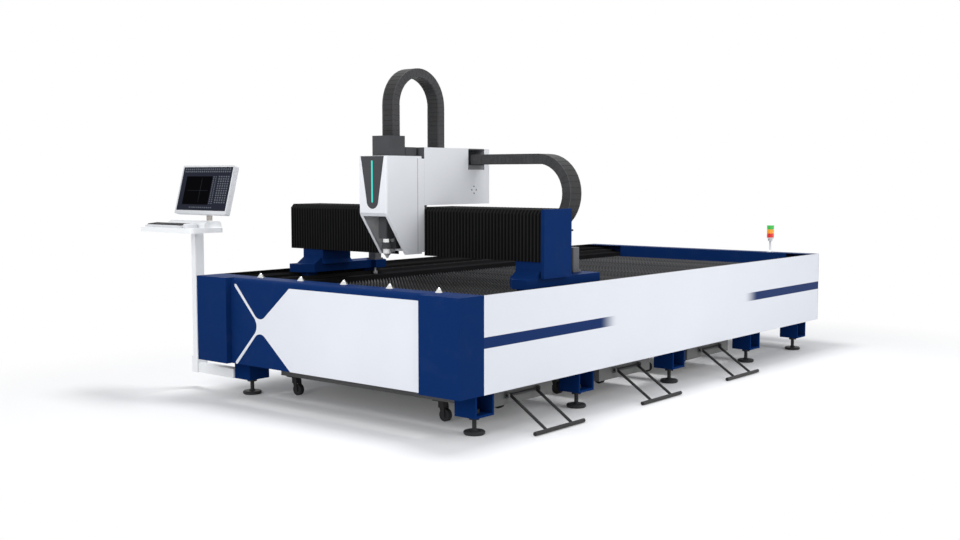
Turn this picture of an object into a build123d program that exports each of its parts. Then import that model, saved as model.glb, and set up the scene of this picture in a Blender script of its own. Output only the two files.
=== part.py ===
from build123d import *
import os
from math import asin, degrees, pi

# Open-bed laser cutting machine: bed, gantry, cutting head, scrap trolleys and console.
# Millimetres, +Z up. While modelling, x = 0 is the bed's centre line, y = 0 its front face
# and z = 0 the floor. At the end every piece is moved so that the origin is the middle of
# the whole machine's footprint.

# General
overrun = 5.0
running_gap = 0.3
bore_gap = 0.05
sheet = 3.0

# Bed
bed_width = 2280.0
bed_skew = 40.0
bed_length = 4675.0
bed_top = 795.0
skin_bottom = 238.0
panel_depth = 20.0
trough_width = 160.0
trough_floor = 560.0
side_beam_width = 220.0
side_beam_wall = 8.0
side_beam_bottom = 250.0
rail_seat = 735.0
cross_tube = 100.0
cross_wall = 6.0
rail_cover_height = 36.0
rail_cover_land = 15.0
rail_cover_width = 100.0

# Front and rear covers
corner_width = 300.0
corner_depth = 209.0
corner_flange = 80.0
front_recess = 42.0
front_roll = 38.0
rim_depth = 200.0
rim_flange = 40.0
rear_rim = 120.0
rear_lip = 170.0

# White field on the front, with two lines that cross
field_sheet = 1.5
field_line = 11.0
field_line_share = 1.4
field_tip_rise = 22.0
field_tip_radius = 70.0
cross_share = 0.146
field_share = 0.32

# Feet
foot_first = 250.0
foot_last = 255.0
foot_gap_shares = (0.2405, 0.2739, 0.2818, 0.2038)
foot_inset = 85.0
foot_block_length = 152.0
foot_block_width = 165.0
foot_block_wall = 14.0
foot_block_bottom = 107.0
foot_screw_radius = 13.0
foot_nut_width = 56.0
foot_nut_height = 22.0
pad_radius = 62.0
pad_height = 22.0
pad_hub_radius = 24.0
pad_hub_height = 12.0

# Slats
slat_ledge = 30.0
slat_front_gap = 40.0
slat_rear_gap = 60.0
slat_pitch = 100.0
slat_thickness = 4.0
slat_height = 90.0
slat_drop = 85.0
tooth_count = 12
tooth_depth = 24.0
comb_thickness = 8.0

# Ball transfers on the front rim
ball_count = 5
ball_margin = 100.0
ball_setback = 175.0
ball_radius = 9.5
ball_seat_radius = 24.0
ball_seat_top_radius = 11.5
ball_seat_height = 18.0

# Rails and racks along the bed
rail_margin = 150.0
rail_width = 23.0
rail_height = 22.0
rail_end_gap = 40.0
rack_width = 20.0
rack_height = 22.0
rack_offset = 40.0

# Beacon
beacon_inset = 418.0
beacon_setback = 55.0
beacon_stem_radius = 9.0
beacon_stem_height = 125.0
beacon_flange_radius = 30.0
beacon_cup_radius = 20.0
beacon_cup_height = 30.0
beacon_flange_height = 8.0
beacon_lens_radius = 30.0
beacon_lens_height = 35.0

# Console
post_offset = 232.0
post_y = 185.0
post_width = 45.0
post_depth = 70.0
arm_bottom = 108.0
arm_height = 62.0
arm_width = 60.0
sleeve_wall = 7.0
sleeve_height = 110.0
tray_width = 570.0
tray_shift = 12.0
tray_depth = 268.0
tray_top = 1107.0
tray_rim = 32.0
tray_corner = 28.0
tray_overhang = 4.0
hood_length = 400.0
hood_depth = 140.0
hood_height = 43.0
hood_roll = 30.0
keyboard_length = 400.0
keyboard_depth = 100.0
keyboard_front = 12.0
keyboard_back = 20.0
keyboard_inset = 18.0
keyboard_shift = 32.0
key_field_margin = 9.0
key_field_rise = 4.0
mouse_length = 96.0
mouse_width = 46.0
mouse_height = 30.0
mouse_gap = 9.0
mouse_round_share = 0.4

# Monitor
monitor_shift = 160.0
monitor_width = 548.0
monitor_height = 334.0
monitor_depth = 38.0
monitor_corner = 10.0
monitor_tilt = 15.0
monitor_chin = 24.0
monitor_bezel = 11.0
monitor_pocket = 3.0
screen_thickness = 4.0
hinge_height = 130.0
hinge_setback = 14.0
hinge_radius = 8.0
hinge_boss_radius = 15.0
hinge_boss_length = 50.0
hinge_ear = 12.0
neck_width = 40.0
neck_depth = 18.0

# Gantry
beam_front = 865.0
beam_depth = 240.0
beam_bottom = 985.0
beam_height = 230.0
beam_wall = 10.0
beam_overhang = 110.0
pedestal_width = 200.0
pedestal_taper = 30.0
end_plate = 25.0
base_front = 700.0
base_length = 770.0
base_bottom = 783.0
base_height = 56.0
base_width = 180.0
base_nose = 70.0
motor_wing = 40.0
gusset_depth = 70.0
gusset_height = 46.0
slider_length = 90.0
slider_width = 60.0
slider_inset = 60.0

# Bellows over the beam
bellows_front = 825.0
bellows_bottom = 938.0
bellows_top = 1252.0
bellows_chamfer = 25.0
bellows_thickness = 14.0
bellows_fold = 10.0
bellows_pitch = 26.0
bellows_back_lap = 10.0

# Rails and rack along the beam
x_rail = 20.0
x_rail_inset = 35.0
x_rack_setback = 125.0
pinion_radius = 18.0
pinion_height = 18.0
shaft_radius = 8.0
motor_size = 84.0
motor_length = 145.0
motor_flange = 12.0

# Cross carriage
carriage_width = 240.0
saddle_thickness = 25.0
saddle_top = 1560.0
saddle_bottom = 962.0
x_slider_length = 80.0
x_slider_height = 46.0
box_rear = 1485.0
box_top = 1632.0
box_clearance = 10.0
box_wall = 4.0
chain_port_front = 1263.0
chain_port_length = 168.0
chain_port_height = 138.0
bolt_hole_radius = 5.5
bolt_spread = 46.0
bolt_drop = 180.0
bolt_setback = 60.0

# Head cover
cover_front = 476.0
cover_top = 1575.0
cover_chin_top = 1220.0
cover_bottom = 952.0
cover_chin_back = 660.0
cover_wall = 4.0
cover_edge = 14.0
chin_margin = 22.0
inlay_thickness = 2.0
inlay_top_width = 200.0
inlay_radius = 50.0
inlay_drop = 278.0
strip_width = 14.0
strip_top_gap = 29.0
strip_height = 262.0
strip_rise = 1.5

# Cutting head and its slide
head_y = 605.0
z_rail_spread = 120.0
z_rail = 18.0
z_rail_bottom = 985.0
z_rail_length = 420.0
z_plate_bottom = 1190.0
z_plate_height = 200.0
z_plate_width = 170.0
z_plate_thickness = 18.0
z_slider_length = 60.0
z_slider_width = 40.0
screw_radius = 8.0
screw_collar_radius = 14.0
screw_collar_height = 12.0
nut_radius = 17.0
nut_height = 48.0
z_motor_width = 76.0
z_motor_hood = 150.0
z_motor_bottom = 1452.0
z_bracket = 14.0
head_width = 74.0
head_depth = 92.0
head_bottom = 1054.0
head_top = 1470.0
head_neck_radius = 20.0
head_ring_radius = 26.0
head_ring_height = 24.0
collar_radius = 37.0
collar_height = 40.0
nozzle_radius = 26.0
nozzle_height = 60.0
nozzle_tip_radius = 6.0
nozzle_tip_height = 14.0
nozzle_bore_radius = 2.0
fibre_box_width = 150.0
fibre_box_front = 554.0
fibre_box_depth = 140.0
fibre_box_top = 1702.0
cover_slot_gap = 5.0

# Drag chains
x_chain_width = 124.0
x_chain_thickness = 66.0
x_chain_radius = 221.0
x_chain_center = 1347.0
x_chain_level = 1338.0
x_chain_bend = 684.0
x_chain_lower = 750.0
x_link = 47.0
x_link_neck = 13.0
link_step = 5.0
tray_floor = 5.0
tray_cheek = 6.0
tray_cheek_height = 70.0
tray_play = 3.0
tray_left_spare = 400.0
z_chain_width = 100.0
z_chain_thickness = 58.0
z_chain_radius = 213.0
z_chain_front = 647.0
z_chain_level = 1896.0
z_link = 34.0
z_link_neck = 10.0

# Scrap trolleys
trolley_room_shares = (0.0894, 0.4216, 0.3654)
trolley_width = 620.0
trolley_left_inset = 260.0
trolley_right_inset = 70.0
trolley_bottom = 130.0
trolley_top = 228.0
caster_left_inset = 83.0
caster_right_inset = 391.0
caster_inset = 58.0
caster_plate = 90.0
caster_plate_height = 8.0
caster_trail = 22.0
wheel_radius = 38.0
wheel_width = 30.0
fork_wall = 5.0
fork_gap = 3.0
fork_width = 44.0
handle_pivot_height = 186.0
handle_pivot_gap = 16.0
handle_reach = 318.0
handle_bar_length = 482.0
handle_bar_radius = 12.0
handle_floor_gap = 1.0
rod_radius = 9.0
rod_spread = 250.0
pivot_radius = 8.0
lug_thickness = 8.0
lug_height = 34.0
lug_gap = 14.0


def span(x, y, z):
    size = [pair[1] - pair[0] for pair in (x, y, z)]
    middle = [(pair[0] + pair[1]) / 2 for pair in (x, y, z)]
    return Pos(*middle) * Box(*size)


def around(middle, size):
    return (middle - size / 2, middle + size / 2)


def shrink(pair, amount):
    return (pair[0] + amount, pair[1] - amount)


def flip(pair):
    return (-pair[1], -pair[0])


def tube(x, y, z, wall, axis):
    pairs = [x, y, z]
    inner = [shrink(pair, -overrun if i == axis else wall) for i, pair in enumerate(pairs)]
    return span(*pairs) - span(*inner)


def rod_x(radius, x, y, z):
    return Pos((x[0] + x[1]) / 2, y, z) * Rot(0, 90, 0) * Cylinder(radius, x[1] - x[0])


def rod_y(radius, x, y, z):
    return Pos(x, (y[0] + y[1]) / 2, z) * Rot(90, 0, 0) * Cylinder(radius, y[1] - y[0])


def rod_z(radius, x, y, z):
    return Pos(x, y, (z[0] + z[1]) / 2) * Cylinder(radius, z[1] - z[0])


def prism_x(points, x):
    face = Plane.YZ.offset(x[0]) * make_face(Polyline(*points, close=True))
    return extrude(face, amount=x[1] - x[0])


def prism_y(points, y):
    face = Plane.XZ.offset(-y[0]) * make_face(Polyline(*points, close=True))
    return extrude(face, amount=y[0] - y[1])


def prism_z(points, z):
    face = Plane.XY.offset(z[0]) * make_face(Polyline(*points, close=True))
    return extrude(face, amount=z[1] - z[0])


# Places that several pieces share
right = (bed_width - bed_skew) / 2
left = right - bed_width
right_beam = (right - panel_depth - side_beam_width, right - panel_depth)
left_beam = (left + trough_width, left + trough_width + side_beam_width)
side_beam_y = (corner_depth, bed_length - sheet)
skin_z = (skin_bottom, bed_top)
front_half = right - corner_width
front_left = left + corner_width
foot_span = bed_length - foot_first - foot_last
foot_y = [foot_first + foot_span * sum(foot_gap_shares[:k]) for k in range(len(foot_gap_shares) + 1)]
foot_x = (left_beam[0] + foot_inset, right_beam[1] - foot_inset)
slat_x = (left_beam[1] + slat_ledge, right_beam[0] - slat_ledge)
slat_y = (rim_depth + slat_front_gap, bed_length - rear_rim - slat_rear_gap)
slat_top = bed_top - slat_drop
slat_bottom = slat_top - slat_height
rail_gauge = 2 * (right_beam[1] - rail_margin)
rail_x = rail_gauge / 2
rail_y = (side_beam_y[0] + rail_end_gap, side_beam_y[1] - rail_end_gap)
rail_top = rail_seat + rail_height
rack_x = (rail_x - rack_offset - rack_width / 2, rail_x - rack_offset + rack_width / 2)
pinion_x = rack_x[0] - pinion_radius - running_gap
beam_y = (beam_front, beam_front + beam_depth)
beam_z = (beam_bottom, beam_bottom + beam_height)
pedestal_x = around(rail_x, pedestal_width)
beam_right = pedestal_x[1]
beam_x = (-pedestal_x[1] - beam_overhang, beam_right)
base_y = (base_front, base_front + base_length)
base_z = (base_bottom, base_bottom + base_height)
motor_y = base_y[1] - motor_size
x_rail_z = (beam_z[0] + x_rail_inset, beam_z[1] - x_rail_inset)
x_rail_y = (beam_y[0] - x_rail, beam_y[0])
x_rack_y = (beam_y[0] + x_rack_setback, beam_y[0] + x_rack_setback + rack_width)
x_pinion_y = x_rack_y[0] - pinion_radius - running_gap
carriage_x = around(0, carriage_width)
saddle_y = (bellows_front - saddle_thickness, bellows_front)
box_y = (saddle_y[1], box_rear)
box_z = (bellows_top + box_clearance, box_top)
x_chain_y = around(x_chain_center, x_chain_width)
x_chain_top = x_chain_level + x_chain_radius
x_chain_low = x_chain_level - x_chain_radius
z_chain_back = z_chain_front + 2 * z_chain_radius
z_rail_y = (saddle_y[0] - z_rail, saddle_y[0])
z_plate_z = (z_plate_bottom, z_plate_bottom + z_plate_height)
z_slider_y = (z_rail_y[0] - z_rail / 2, z_rail_y[1] - z_rail / 2)
z_plate_y = (z_slider_y[0] - z_plate_thickness, z_slider_y[0])
screw_y = z_plate_y[0] - nut_radius
fibre_box_y = (fibre_box_front, fibre_box_front + fibre_box_depth)
beacon_x = right - beacon_inset
post_x = left - post_offset
tray_x = around(post_x + tray_shift, tray_width)
tray_y = (post_y - tray_depth - tray_overhang, post_y - tray_overhang)
hood_y = (tray_y[1] - hood_depth, tray_y[1])
hood_top = tray_top + hood_height
monitor_x = post_x + monitor_shift
hinge_y = tray_y[1] - hinge_setback
hinge_z = hood_top + hinge_height
trolley_left = left_beam[0] + trolley_left_inset
trolley_right = right_beam[1] - trolley_right_inset
caster_left = trolley_left + caster_left_inset
caster_right = trolley_right - caster_right_inset
trolley_y = []
for bay, room_share in enumerate(trolley_room_shares):
    room = foot_y[bay + 1] - foot_y[bay] - foot_block_width - trolley_width
    trolley_y.append(foot_y[bay] + (foot_block_width + trolley_width) / 2 + room_share * room)
pivot_x = trolley_right + handle_pivot_gap


# Bed frame: two side beams, cross tubes and the blocks that carry the feet
def foot_block(x, y):
    block_y = around(y, foot_block_width)
    block_z = (foot_block_bottom, side_beam_bottom)
    low, high = around(x, foot_block_length)
    pocket_x = (low + foot_block_wall, high + overrun) if x > 0 else (low - overrun, high - foot_block_wall)
    block = span((low, high), block_y, block_z)
    block -= span(pocket_x, shrink(block_y, foot_block_wall), shrink(block_z, foot_block_wall))
    hole_z = (foot_block_bottom - overrun, foot_block_bottom + foot_block_wall + overrun)
    return block - rod_z(foot_screw_radius + running_gap, x, y, hole_z)


def make_bed_frame():
    beam_span = (side_beam_bottom, rail_seat)
    solids = [tube(x, side_beam_y, beam_span, side_beam_wall, 1) for x in (left_beam, right_beam)]
    cross_z = (side_beam_bottom, side_beam_bottom + cross_tube)
    for y in foot_y:
        cross_x = (left_beam[1], right_beam[0])
        solids.append(tube(cross_x, around(y, cross_tube), cross_z, cross_wall, 0))
        solids += [foot_block(x, y) for x in foot_x]
    return solids


# Levelling feet: each screw hangs in its block by two nuts and stands on a pad
def make_foot_screws():
    screw_z = (pad_height + pad_hub_height, foot_block_bottom + foot_block_wall + 2 * foot_nut_height)
    low_nut_z = (foot_block_bottom - foot_nut_height, foot_block_bottom)
    high_nut = foot_block_bottom + foot_block_wall
    solids = []
    for y in foot_y:
        for x in foot_x:
            screw = rod_z(foot_screw_radius, x, y, screw_z)
            for nut_z in (low_nut_z, (high_nut, high_nut + foot_nut_height)):
                hexagon = RegularPolygon(foot_nut_width / 2, 6, major_radius=False)
                screw += extrude(Pos(x, y, nut_z[0]) * hexagon, amount=nut_z[1] - nut_z[0])
            solids.append(screw)
    return solids


def make_foot_pads():
    edge = pad_height / 4
    outline = [
        (0, 0),
        (pad_radius - edge, 0),
        (pad_radius, edge),
        (pad_radius, pad_height - edge),
        (pad_radius - edge, pad_height),
        (pad_hub_radius, pad_height),
        (foot_screw_radius, pad_height + pad_hub_height),
        (0, pad_height + pad_hub_height),
    ]
    pad = revolve(Plane.XZ * make_face(Polyline(*outline, close=True)), Axis.Z)
    return [Pos(x, y, 0) * pad for y in foot_y for x in foot_x]


# Folded side panels, open towards the frame
def side_panel(outer):
    inner = outer - panel_depth
    panel_y = (corner_depth, bed_length - sheet)
    pocket_x = (inner - overrun, outer - sheet)
    pocket = span(pocket_x, shrink(panel_y, sheet), shrink(skin_z, sheet))
    return span((inner, outer), panel_y, skin_z) - pocket


def make_right_panel():
    return [side_panel(right)]


def make_left_panel():
    return [Pos(left + right, 0, 0) * mirror(side_panel(right), about=Plane.YZ)]


# Cable trough between the left panel and the frame
def make_trough():
    trough_x = (left + panel_depth, left_beam[0])
    trough_z = (trough_floor, rail_seat)
    pocket_z = (trough_floor + sheet, rail_seat + overrun)
    body = span(trough_x, side_beam_y, trough_z)
    return [body - span(shrink(trough_x, sheet), shrink(side_beam_y, -overrun), pocket_z)]


# Black channels over the outer part of each side beam
def rail_cover(x):
    cover_z = (rail_seat, rail_seat + rail_cover_height)
    pocket_z = (rail_seat - overrun, cover_z[1] - sheet)
    return span(x, side_beam_y, cover_z) - span(shrink(x, sheet), shrink(side_beam_y, -overrun), pocket_z)


def make_rail_covers():
    right_cover = (right_beam[1] - rail_cover_width, right_beam[1])
    left_cover = (left + panel_depth, left_beam[0] + rail_cover_land)
    return [rail_cover(right_cover), rail_cover(left_cover)]


# Corner covers, the recessed front cover with its rolled rim, and the rear cover
def corner_cover():
    cover_x = (front_half, right)
    cover_y = (0, corner_depth)
    body = span(cover_x, cover_y, skin_z)
    pocket_z = (skin_bottom - overrun, bed_top - sheet)
    body -= span(shrink(cover_x, sheet), (sheet, corner_depth - sheet), pocket_z)
    back_y = (corner_depth - sheet - overrun, corner_depth + overrun)
    notch_y = (foot_first - cross_tube / 2 - running_gap, corner_depth + overrun)
    notch_z = (skin_bottom - overrun, side_beam_bottom + cross_tube + running_gap)
    notch_x = (front_half - overrun, right - sheet)
    body -= span(notch_x, notch_y, notch_z)
    block_y = (foot_first - foot_block_width / 2 - running_gap, corner_depth + overrun)
    body -= span(notch_x, block_y, (skin_bottom - overrun, side_beam_bottom + running_gap))
    return body - span((front_half + corner_flange, right - sheet), back_y, pocket_z)


def make_corner_covers():
    cover = corner_cover()
    return [cover, Pos(left + right, 0, 0) * mirror(cover, about=Plane.YZ)]


def rolled_block(y, z, roll):
    block = span((front_left, front_half), y, z)
    return fillet(block.edges().filter_by(Axis.X).group_by(Axis.Z)[-1].sort_by(Axis.Y)[0], roll)


def make_front_cover():
    body = rolled_block((front_recess, rim_depth), skin_z, front_roll)
    inner_z = (skin_bottom - overrun, bed_top - sheet)
    body -= rolled_block((front_recess + sheet, rim_depth - sheet), inner_z, front_roll - sheet)
    cut_y = (rim_depth - sheet - overrun, rim_depth + overrun)
    return [body - span((left, right), cut_y, (skin_bottom - overrun, bed_top - rim_flange))]


def blue_tip(points, tip_index):
    face = make_face(Polyline(*points, close=True))
    tip = face.vertices().sort_by_distance(points[tip_index])[0]
    return fillet(tip, field_tip_radius)


def make_front_field():
    low, high = skin_bottom, bed_top - front_roll
    middle = (low + high) / 2
    cross = -front_half + cross_share * 2 * front_half
    start = -front_half + field_share * 2 * front_half
    line_x = field_line * field_line_share
    upper = [(line_x - front_half, high), (start, high), (cross, middle + field_tip_rise)]
    lower = [(line_x - front_half, low), (start, low), (cross, middle - field_tip_rise)]
    side = [(-front_half, high - line_x), (-front_half, low + line_x), (cross, middle)]
    outline = [(-front_half, low), (front_half, low), (front_half, high), (-front_half, high)]
    field = make_face(Polyline(*outline, close=True))
    for points in (upper, lower, side):
        field -= blue_tip(points, -1)
    return [extrude(Plane.XZ.offset(-front_recess) * field, amount=field_sheet)]


def make_rear_cover():
    wall = span((left, right), (bed_length - sheet, bed_length), skin_z)
    rim_x = (left + panel_depth, right - panel_depth)
    rim_y = (bed_length - rear_rim, bed_length)
    rim = span(rim_x, rim_y, (bed_top - sheet, bed_top))
    lip_x = (left_beam[1] + running_gap, right_beam[0] - running_gap)
    lip = span(lip_x, (rim_y[0], rim_y[0] + sheet), (bed_top - rear_lip, bed_top))
    return [wall + rim + lip]


# Slat bed: serrated blades across the bed, standing on three long plates
def make_slat_combs():
    comb_z = (side_beam_bottom + cross_tube, slat_bottom)
    middle = (slat_x[0] + slat_x[1]) / 2
    places = (slat_x[0] + comb_thickness / 2, middle, slat_x[1] - comb_thickness / 2)
    return [span(around(x, comb_thickness), slat_y, comb_z) for x in places]


def make_slats():
    tooth = (slat_x[1] - slat_x[0]) / tooth_count
    outline = [(slat_x[0], slat_bottom), (slat_x[1], slat_bottom)]
    for k in range(tooth_count):
        outline.append((slat_x[1] - k * tooth, slat_top - tooth_depth))
        outline.append((slat_x[1] - (k + 0.5) * tooth, slat_top))
    outline.append((slat_x[0], slat_top - tooth_depth))
    slat = prism_y(outline, (slat_y[0], slat_y[0] + slat_thickness))
    count = int((slat_y[1] - slat_y[0] - slat_thickness) / slat_pitch) + 1
    return [Pos(0, k * slat_pitch, 0) * slat for k in range(count)]


# Ball transfers: a conical seat with a steel ball in its socket
def make_ball_transfers():
    ball_z = bed_top + ball_seat_height
    cone = Cone(ball_seat_radius, ball_seat_top_radius, ball_seat_height)
    seat = Pos(0, 0, bed_top + ball_seat_height / 2) * cone
    seat -= Pos(0, 0, ball_z) * Sphere(ball_radius + running_gap)
    ball = Pos(0, 0, ball_z) * Sphere(ball_radius)
    first = ball_margin - front_half
    ball_pitch = (front_half - first) / (ball_count - 1)
    solids = []
    for k in range(ball_count):
        place = Pos(first + k * ball_pitch, ball_setback, 0)
        solids += [place * seat, place * ball]
    return solids


# Linear rails and racks on the side beams
def make_y_rails():
    rail_z = (rail_seat, rail_top)
    rack_z = (rail_seat, rail_seat + rack_height)
    solids = [span(around(x, rail_width), rail_y, rail_z) for x in (-rail_x, rail_x)]
    return solids + [span(x, rail_y, rack_z) for x in (flip(rack_x), rack_x)]


# Three-colour beacon at the rear
def beacon_stage(radius, low, height):
    return rod_z(radius, beacon_x, bed_length - beacon_setback, (low, low + height))


def beacon_low(stage):
    return bed_top + beacon_stem_height + stage * beacon_lens_height


def make_beacon_stem():
    flange = beacon_stage(beacon_flange_radius, bed_top, beacon_flange_height)
    stem = beacon_stage(beacon_stem_radius, bed_top, beacon_stem_height)
    stem_top = bed_top + beacon_stem_height
    cup = beacon_stage(beacon_cup_radius, stem_top - beacon_cup_height, beacon_cup_height)
    collar = beacon_stage(beacon_lens_radius, stem_top - beacon_flange_height, beacon_flange_height)
    return [flange + stem + cup + collar]


def make_beacon_lens(stage):
    lens = beacon_stage(beacon_lens_radius, beacon_low(stage), beacon_lens_height)
    groove = beacon_stage(beacon_lens_radius + overrun, beacon_low(stage), sheet)
    groove -= beacon_stage(beacon_lens_radius - sheet, beacon_low(stage), sheet)
    return [lens - groove]


# Operator console: arm from the front left foot block, post, tray and hood
def make_console_post():
    post_span_x = around(post_x, post_width)
    post_span_y = around(post_y, post_depth)
    post = span(post_span_x, post_span_y, (arm_bottom, tray_top - sheet))
    sleeve_z = (arm_bottom, arm_bottom + sleeve_height)
    sleeve = span(shrink(post_span_x, -sleeve_wall), shrink(post_span_y, -sleeve_wall), sleeve_z)
    arm_x = (post_x, foot_x[0] - foot_block_length / 2)
    arm = span(arm_x, around(post_y, arm_width), (arm_bottom, arm_bottom + arm_height))
    return [post + sleeve + arm]


def make_keyboard_tray():
    body = span(tray_x, tray_y, (tray_top - tray_rim, tray_top))
    body = fillet(body.edges().filter_by(Axis.Z), tray_corner)
    hollow_z = (tray_top - tray_rim - overrun, tray_top - sheet)
    hollow = span(shrink(tray_x, sheet), shrink(tray_y, sheet), hollow_z)
    body -= fillet(hollow.edges().filter_by(Axis.Z), tray_corner - sheet)
    notch_x = shrink(around(post_x, post_width), -running_gap)
    notch_y = (post_y - post_depth / 2 - running_gap, tray_y[1] + overrun)
    return [body - span(notch_x, notch_y, hollow_z)]


def make_tray_hood():
    hood_x = (tray_x[1] - tray_corner - hood_length, tray_x[1] - tray_corner)
    hood = span(hood_x, hood_y, (tray_top, hood_top))
    return [fillet(hood.edges().filter_by(Axis.X).group_by(Axis.Z)[-1], hood_roll)]


def make_keyboard():
    key_y = (tray_y[0] + keyboard_inset, tray_y[0] + keyboard_inset + keyboard_depth)
    key_x = around(post_x - keyboard_shift, keyboard_length)
    front, back = tray_top + keyboard_front, tray_top + keyboard_back
    outline = [(key_y[0], tray_top), (key_y[1], tray_top), (key_y[1], back), (key_y[0], front)]
    body = prism_x(outline, key_x)
    slope = (back - front) / keyboard_depth
    low_y, high_y = shrink(key_y, key_field_margin)
    low = front + slope * key_field_margin
    high = back - slope * key_field_margin
    high += key_field_rise
    low += key_field_rise
    field = [(low_y, tray_top), (high_y, tray_top), (high_y, high), (low_y, low)]
    return [body + prism_x(field, shrink(key_x, key_field_margin))]


def make_mouse():
    mouse_left = post_x - keyboard_shift + keyboard_length / 2 + mouse_gap
    mouse_front = tray_y[0] + keyboard_inset
    body = span((mouse_left, mouse_left + mouse_width), (mouse_front, mouse_front + mouse_length),
                (tray_top, tray_top + mouse_height))
    body = fillet(body.edges().filter_by(Axis.Z), mouse_width * mouse_round_share)
    return [fillet(body.edges().group_by(Axis.Z)[-1], mouse_height * mouse_round_share)]


# Monitor on a tilting hinge above the hood
def make_monitor_stand():
    neck_z = (hood_top, hinge_z)
    neck = span(around(monitor_x, neck_width), around(hinge_y, neck_depth), neck_z)
    boss = rod_x(hinge_boss_radius, around(monitor_x, hinge_boss_length), hinge_y, hinge_z)
    pin = rod_x(hinge_radius, around(monitor_x, hinge_boss_length + 2 * hinge_ear), hinge_y, hinge_z)
    return [neck + boss + pin]


def tilt_monitor(shape):
    return Pos(monitor_x, hinge_y, hinge_z) * Rot(-monitor_tilt, 0, 0) * shape


def monitor_spans():
    back = -hinge_boss_radius - running_gap - hinge_ear / 2
    return around(0, monitor_width), (back - monitor_depth, back), around(hinge_height / 2, monitor_height)


def screen_spans():
    panel_x, panel_y, panel_z = monitor_spans()
    screen_y = (panel_y[0] + monitor_pocket, panel_y[0] + monitor_pocket + screen_thickness)
    return shrink(panel_x, monitor_bezel), screen_y, (panel_z[0] + monitor_chin, panel_z[1] - monitor_bezel)


def make_monitor_housing():
    panel_x, panel_y, panel_z = monitor_spans()
    body = span(panel_x, panel_y, panel_z)
    body = fillet(body.edges().filter_by(Axis.Y), monitor_corner)
    screen_x, screen_y, screen_z = screen_spans()
    body -= span(screen_x, (panel_y[0] - overrun, screen_y[1]), screen_z)
    ear_low = hinge_boss_length / 2 + running_gap
    for ear_x in ((ear_low, ear_low + hinge_ear), (-ear_low - hinge_ear, -ear_low)):
        ear = span(ear_x, (panel_y[1], 0), around(0, 2 * hinge_boss_radius))
        ear += rod_x(hinge_boss_radius, ear_x, 0, 0)
        body += ear - rod_x(hinge_radius + bore_gap, shrink(ear_x, -overrun), 0, 0)
    return [tilt_monitor(body)]


def make_monitor_screen():
    return [tilt_monitor(span(*screen_spans()))]


# Gantry: box beam on two pedestals with long base blocks over the rails
def slider(x, y, seat):
    block = span(around(x, slider_width), y, (rail_top - rail_height / 2, seat))
    groove_z = (rail_top - rail_height, rail_top + running_gap)
    return block - span(around(x, rail_width + 2 * running_gap), shrink(y, -overrun), groove_z)


def pedestal():
    inner, outer = pedestal_x
    base_inner = rail_x - base_width / 2
    base = span((base_inner, base_inner + base_width), base_y, base_z)
    nose = base.edges().filter_by(Axis.Z).group_by(Axis.Y)[0].sort_by(Axis.X)[0]
    base = chamfer(nose, base_nose)
    wing_x = (base_inner - motor_wing, base_inner)
    base += span(wing_x, around(motor_y, motor_size + 2 * motor_flange), base_z)
    shaft_z = shrink(base_z, -overrun)
    base -= rod_z(shaft_radius + running_gap, pinion_x, motor_y, shaft_z)
    waist = [
        (inner - pedestal_taper, base_z[1]),
        (outer, base_z[1]),
        (outer, beam_z[0]),
        (inner - pedestal_taper, beam_z[0]),
        (inner, bellows_bottom - bellows_thickness),
        (inner, base_z[1] + pedestal_taper),
    ]
    front = bellows_front + bellows_thickness + running_gap
    gusset = [(front, base_z[1]), (front - gusset_depth, base_z[1]), (front, base_z[1] + gusset_height)]
    body = base + prism_y(waist, (front, beam_y[1]))
    body += prism_x(gusset, (base_inner, base_inner + base_width))
    slider_y = (base_y[0] + slider_inset, base_y[1] - slider_inset - slider_length)
    for start in slider_y:
        body += slider(rail_x, (start, start + slider_length), base_z[0])
    return body


def make_right_pedestal():
    plate_x = (pedestal_x[1], pedestal_x[1] + end_plate)
    plate = span(plate_x, (bellows_front, beam_y[1]), (base_z[1], bellows_top))
    return [pedestal() + plate]


def make_left_pedestal():
    return [mirror(pedestal(), about=Plane.YZ)]


def make_gantry_beam():
    return [tube(beam_x, beam_y, beam_z, beam_wall, 0)]


def make_x_rails():
    rail_span = shrink(beam_x, rail_end_gap)
    solids = [span(rail_span, x_rail_y, around(z, x_rail)) for z in x_rail_z]
    return solids + [span(rail_span, x_rack_y, (beam_z[1], beam_z[1] + rack_height))]


# Pleated cover: each fold runs from a ridge to a valley and back
def bellows_section(x, inset):
    front, top = bellows_front + inset, bellows_top - inset
    inner_front = bellows_front + bellows_thickness
    inner_top = bellows_top - bellows_thickness
    inner_chamfer = bellows_chamfer - bellows_thickness / 2
    back = beam_y[1] + bellows_back_lap
    outline = [
        (front, bellows_bottom),
        (front, top - bellows_chamfer),
        (front + bellows_chamfer, top),
        (back, top),
        (back, inner_top),
        (inner_front + inner_chamfer, inner_top),
        (inner_front, inner_top - inner_chamfer),
        (inner_front, bellows_bottom),
    ]
    return Plane.YZ.offset(x) * make_face(Polyline(*outline, close=True))


def make_bellows(low, high):
    folds = max(2, round((high - low) / bellows_pitch))
    step = (high - low) / (2 * folds)
    sections = [bellows_section(low + k * step, bellows_fold * (k % 2)) for k in range(2 * folds + 1)]
    return [loft(sections, ruled=True)]


# Gear motors stand on the base blocks, each with a pinion on its rack
def gear_motor(low):
    flange = span(around(0, motor_size), around(0, motor_size), (low, low + motor_flange))
    top = low + motor_flange + motor_length
    body_x = around(0, motor_size - motor_flange)
    body = span(body_x, body_x, (low + motor_flange, top))
    return flange + fillet(body.edges().filter_by(Axis.Z), motor_flange)


def pinion(low, shaft_top):
    gear = Pos(0, 0, low + pinion_height / 2) * Cylinder(pinion_radius, pinion_height)
    shaft = rod_z(shaft_radius, 0, 0, (low, shaft_top))
    return gear + shaft


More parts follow.
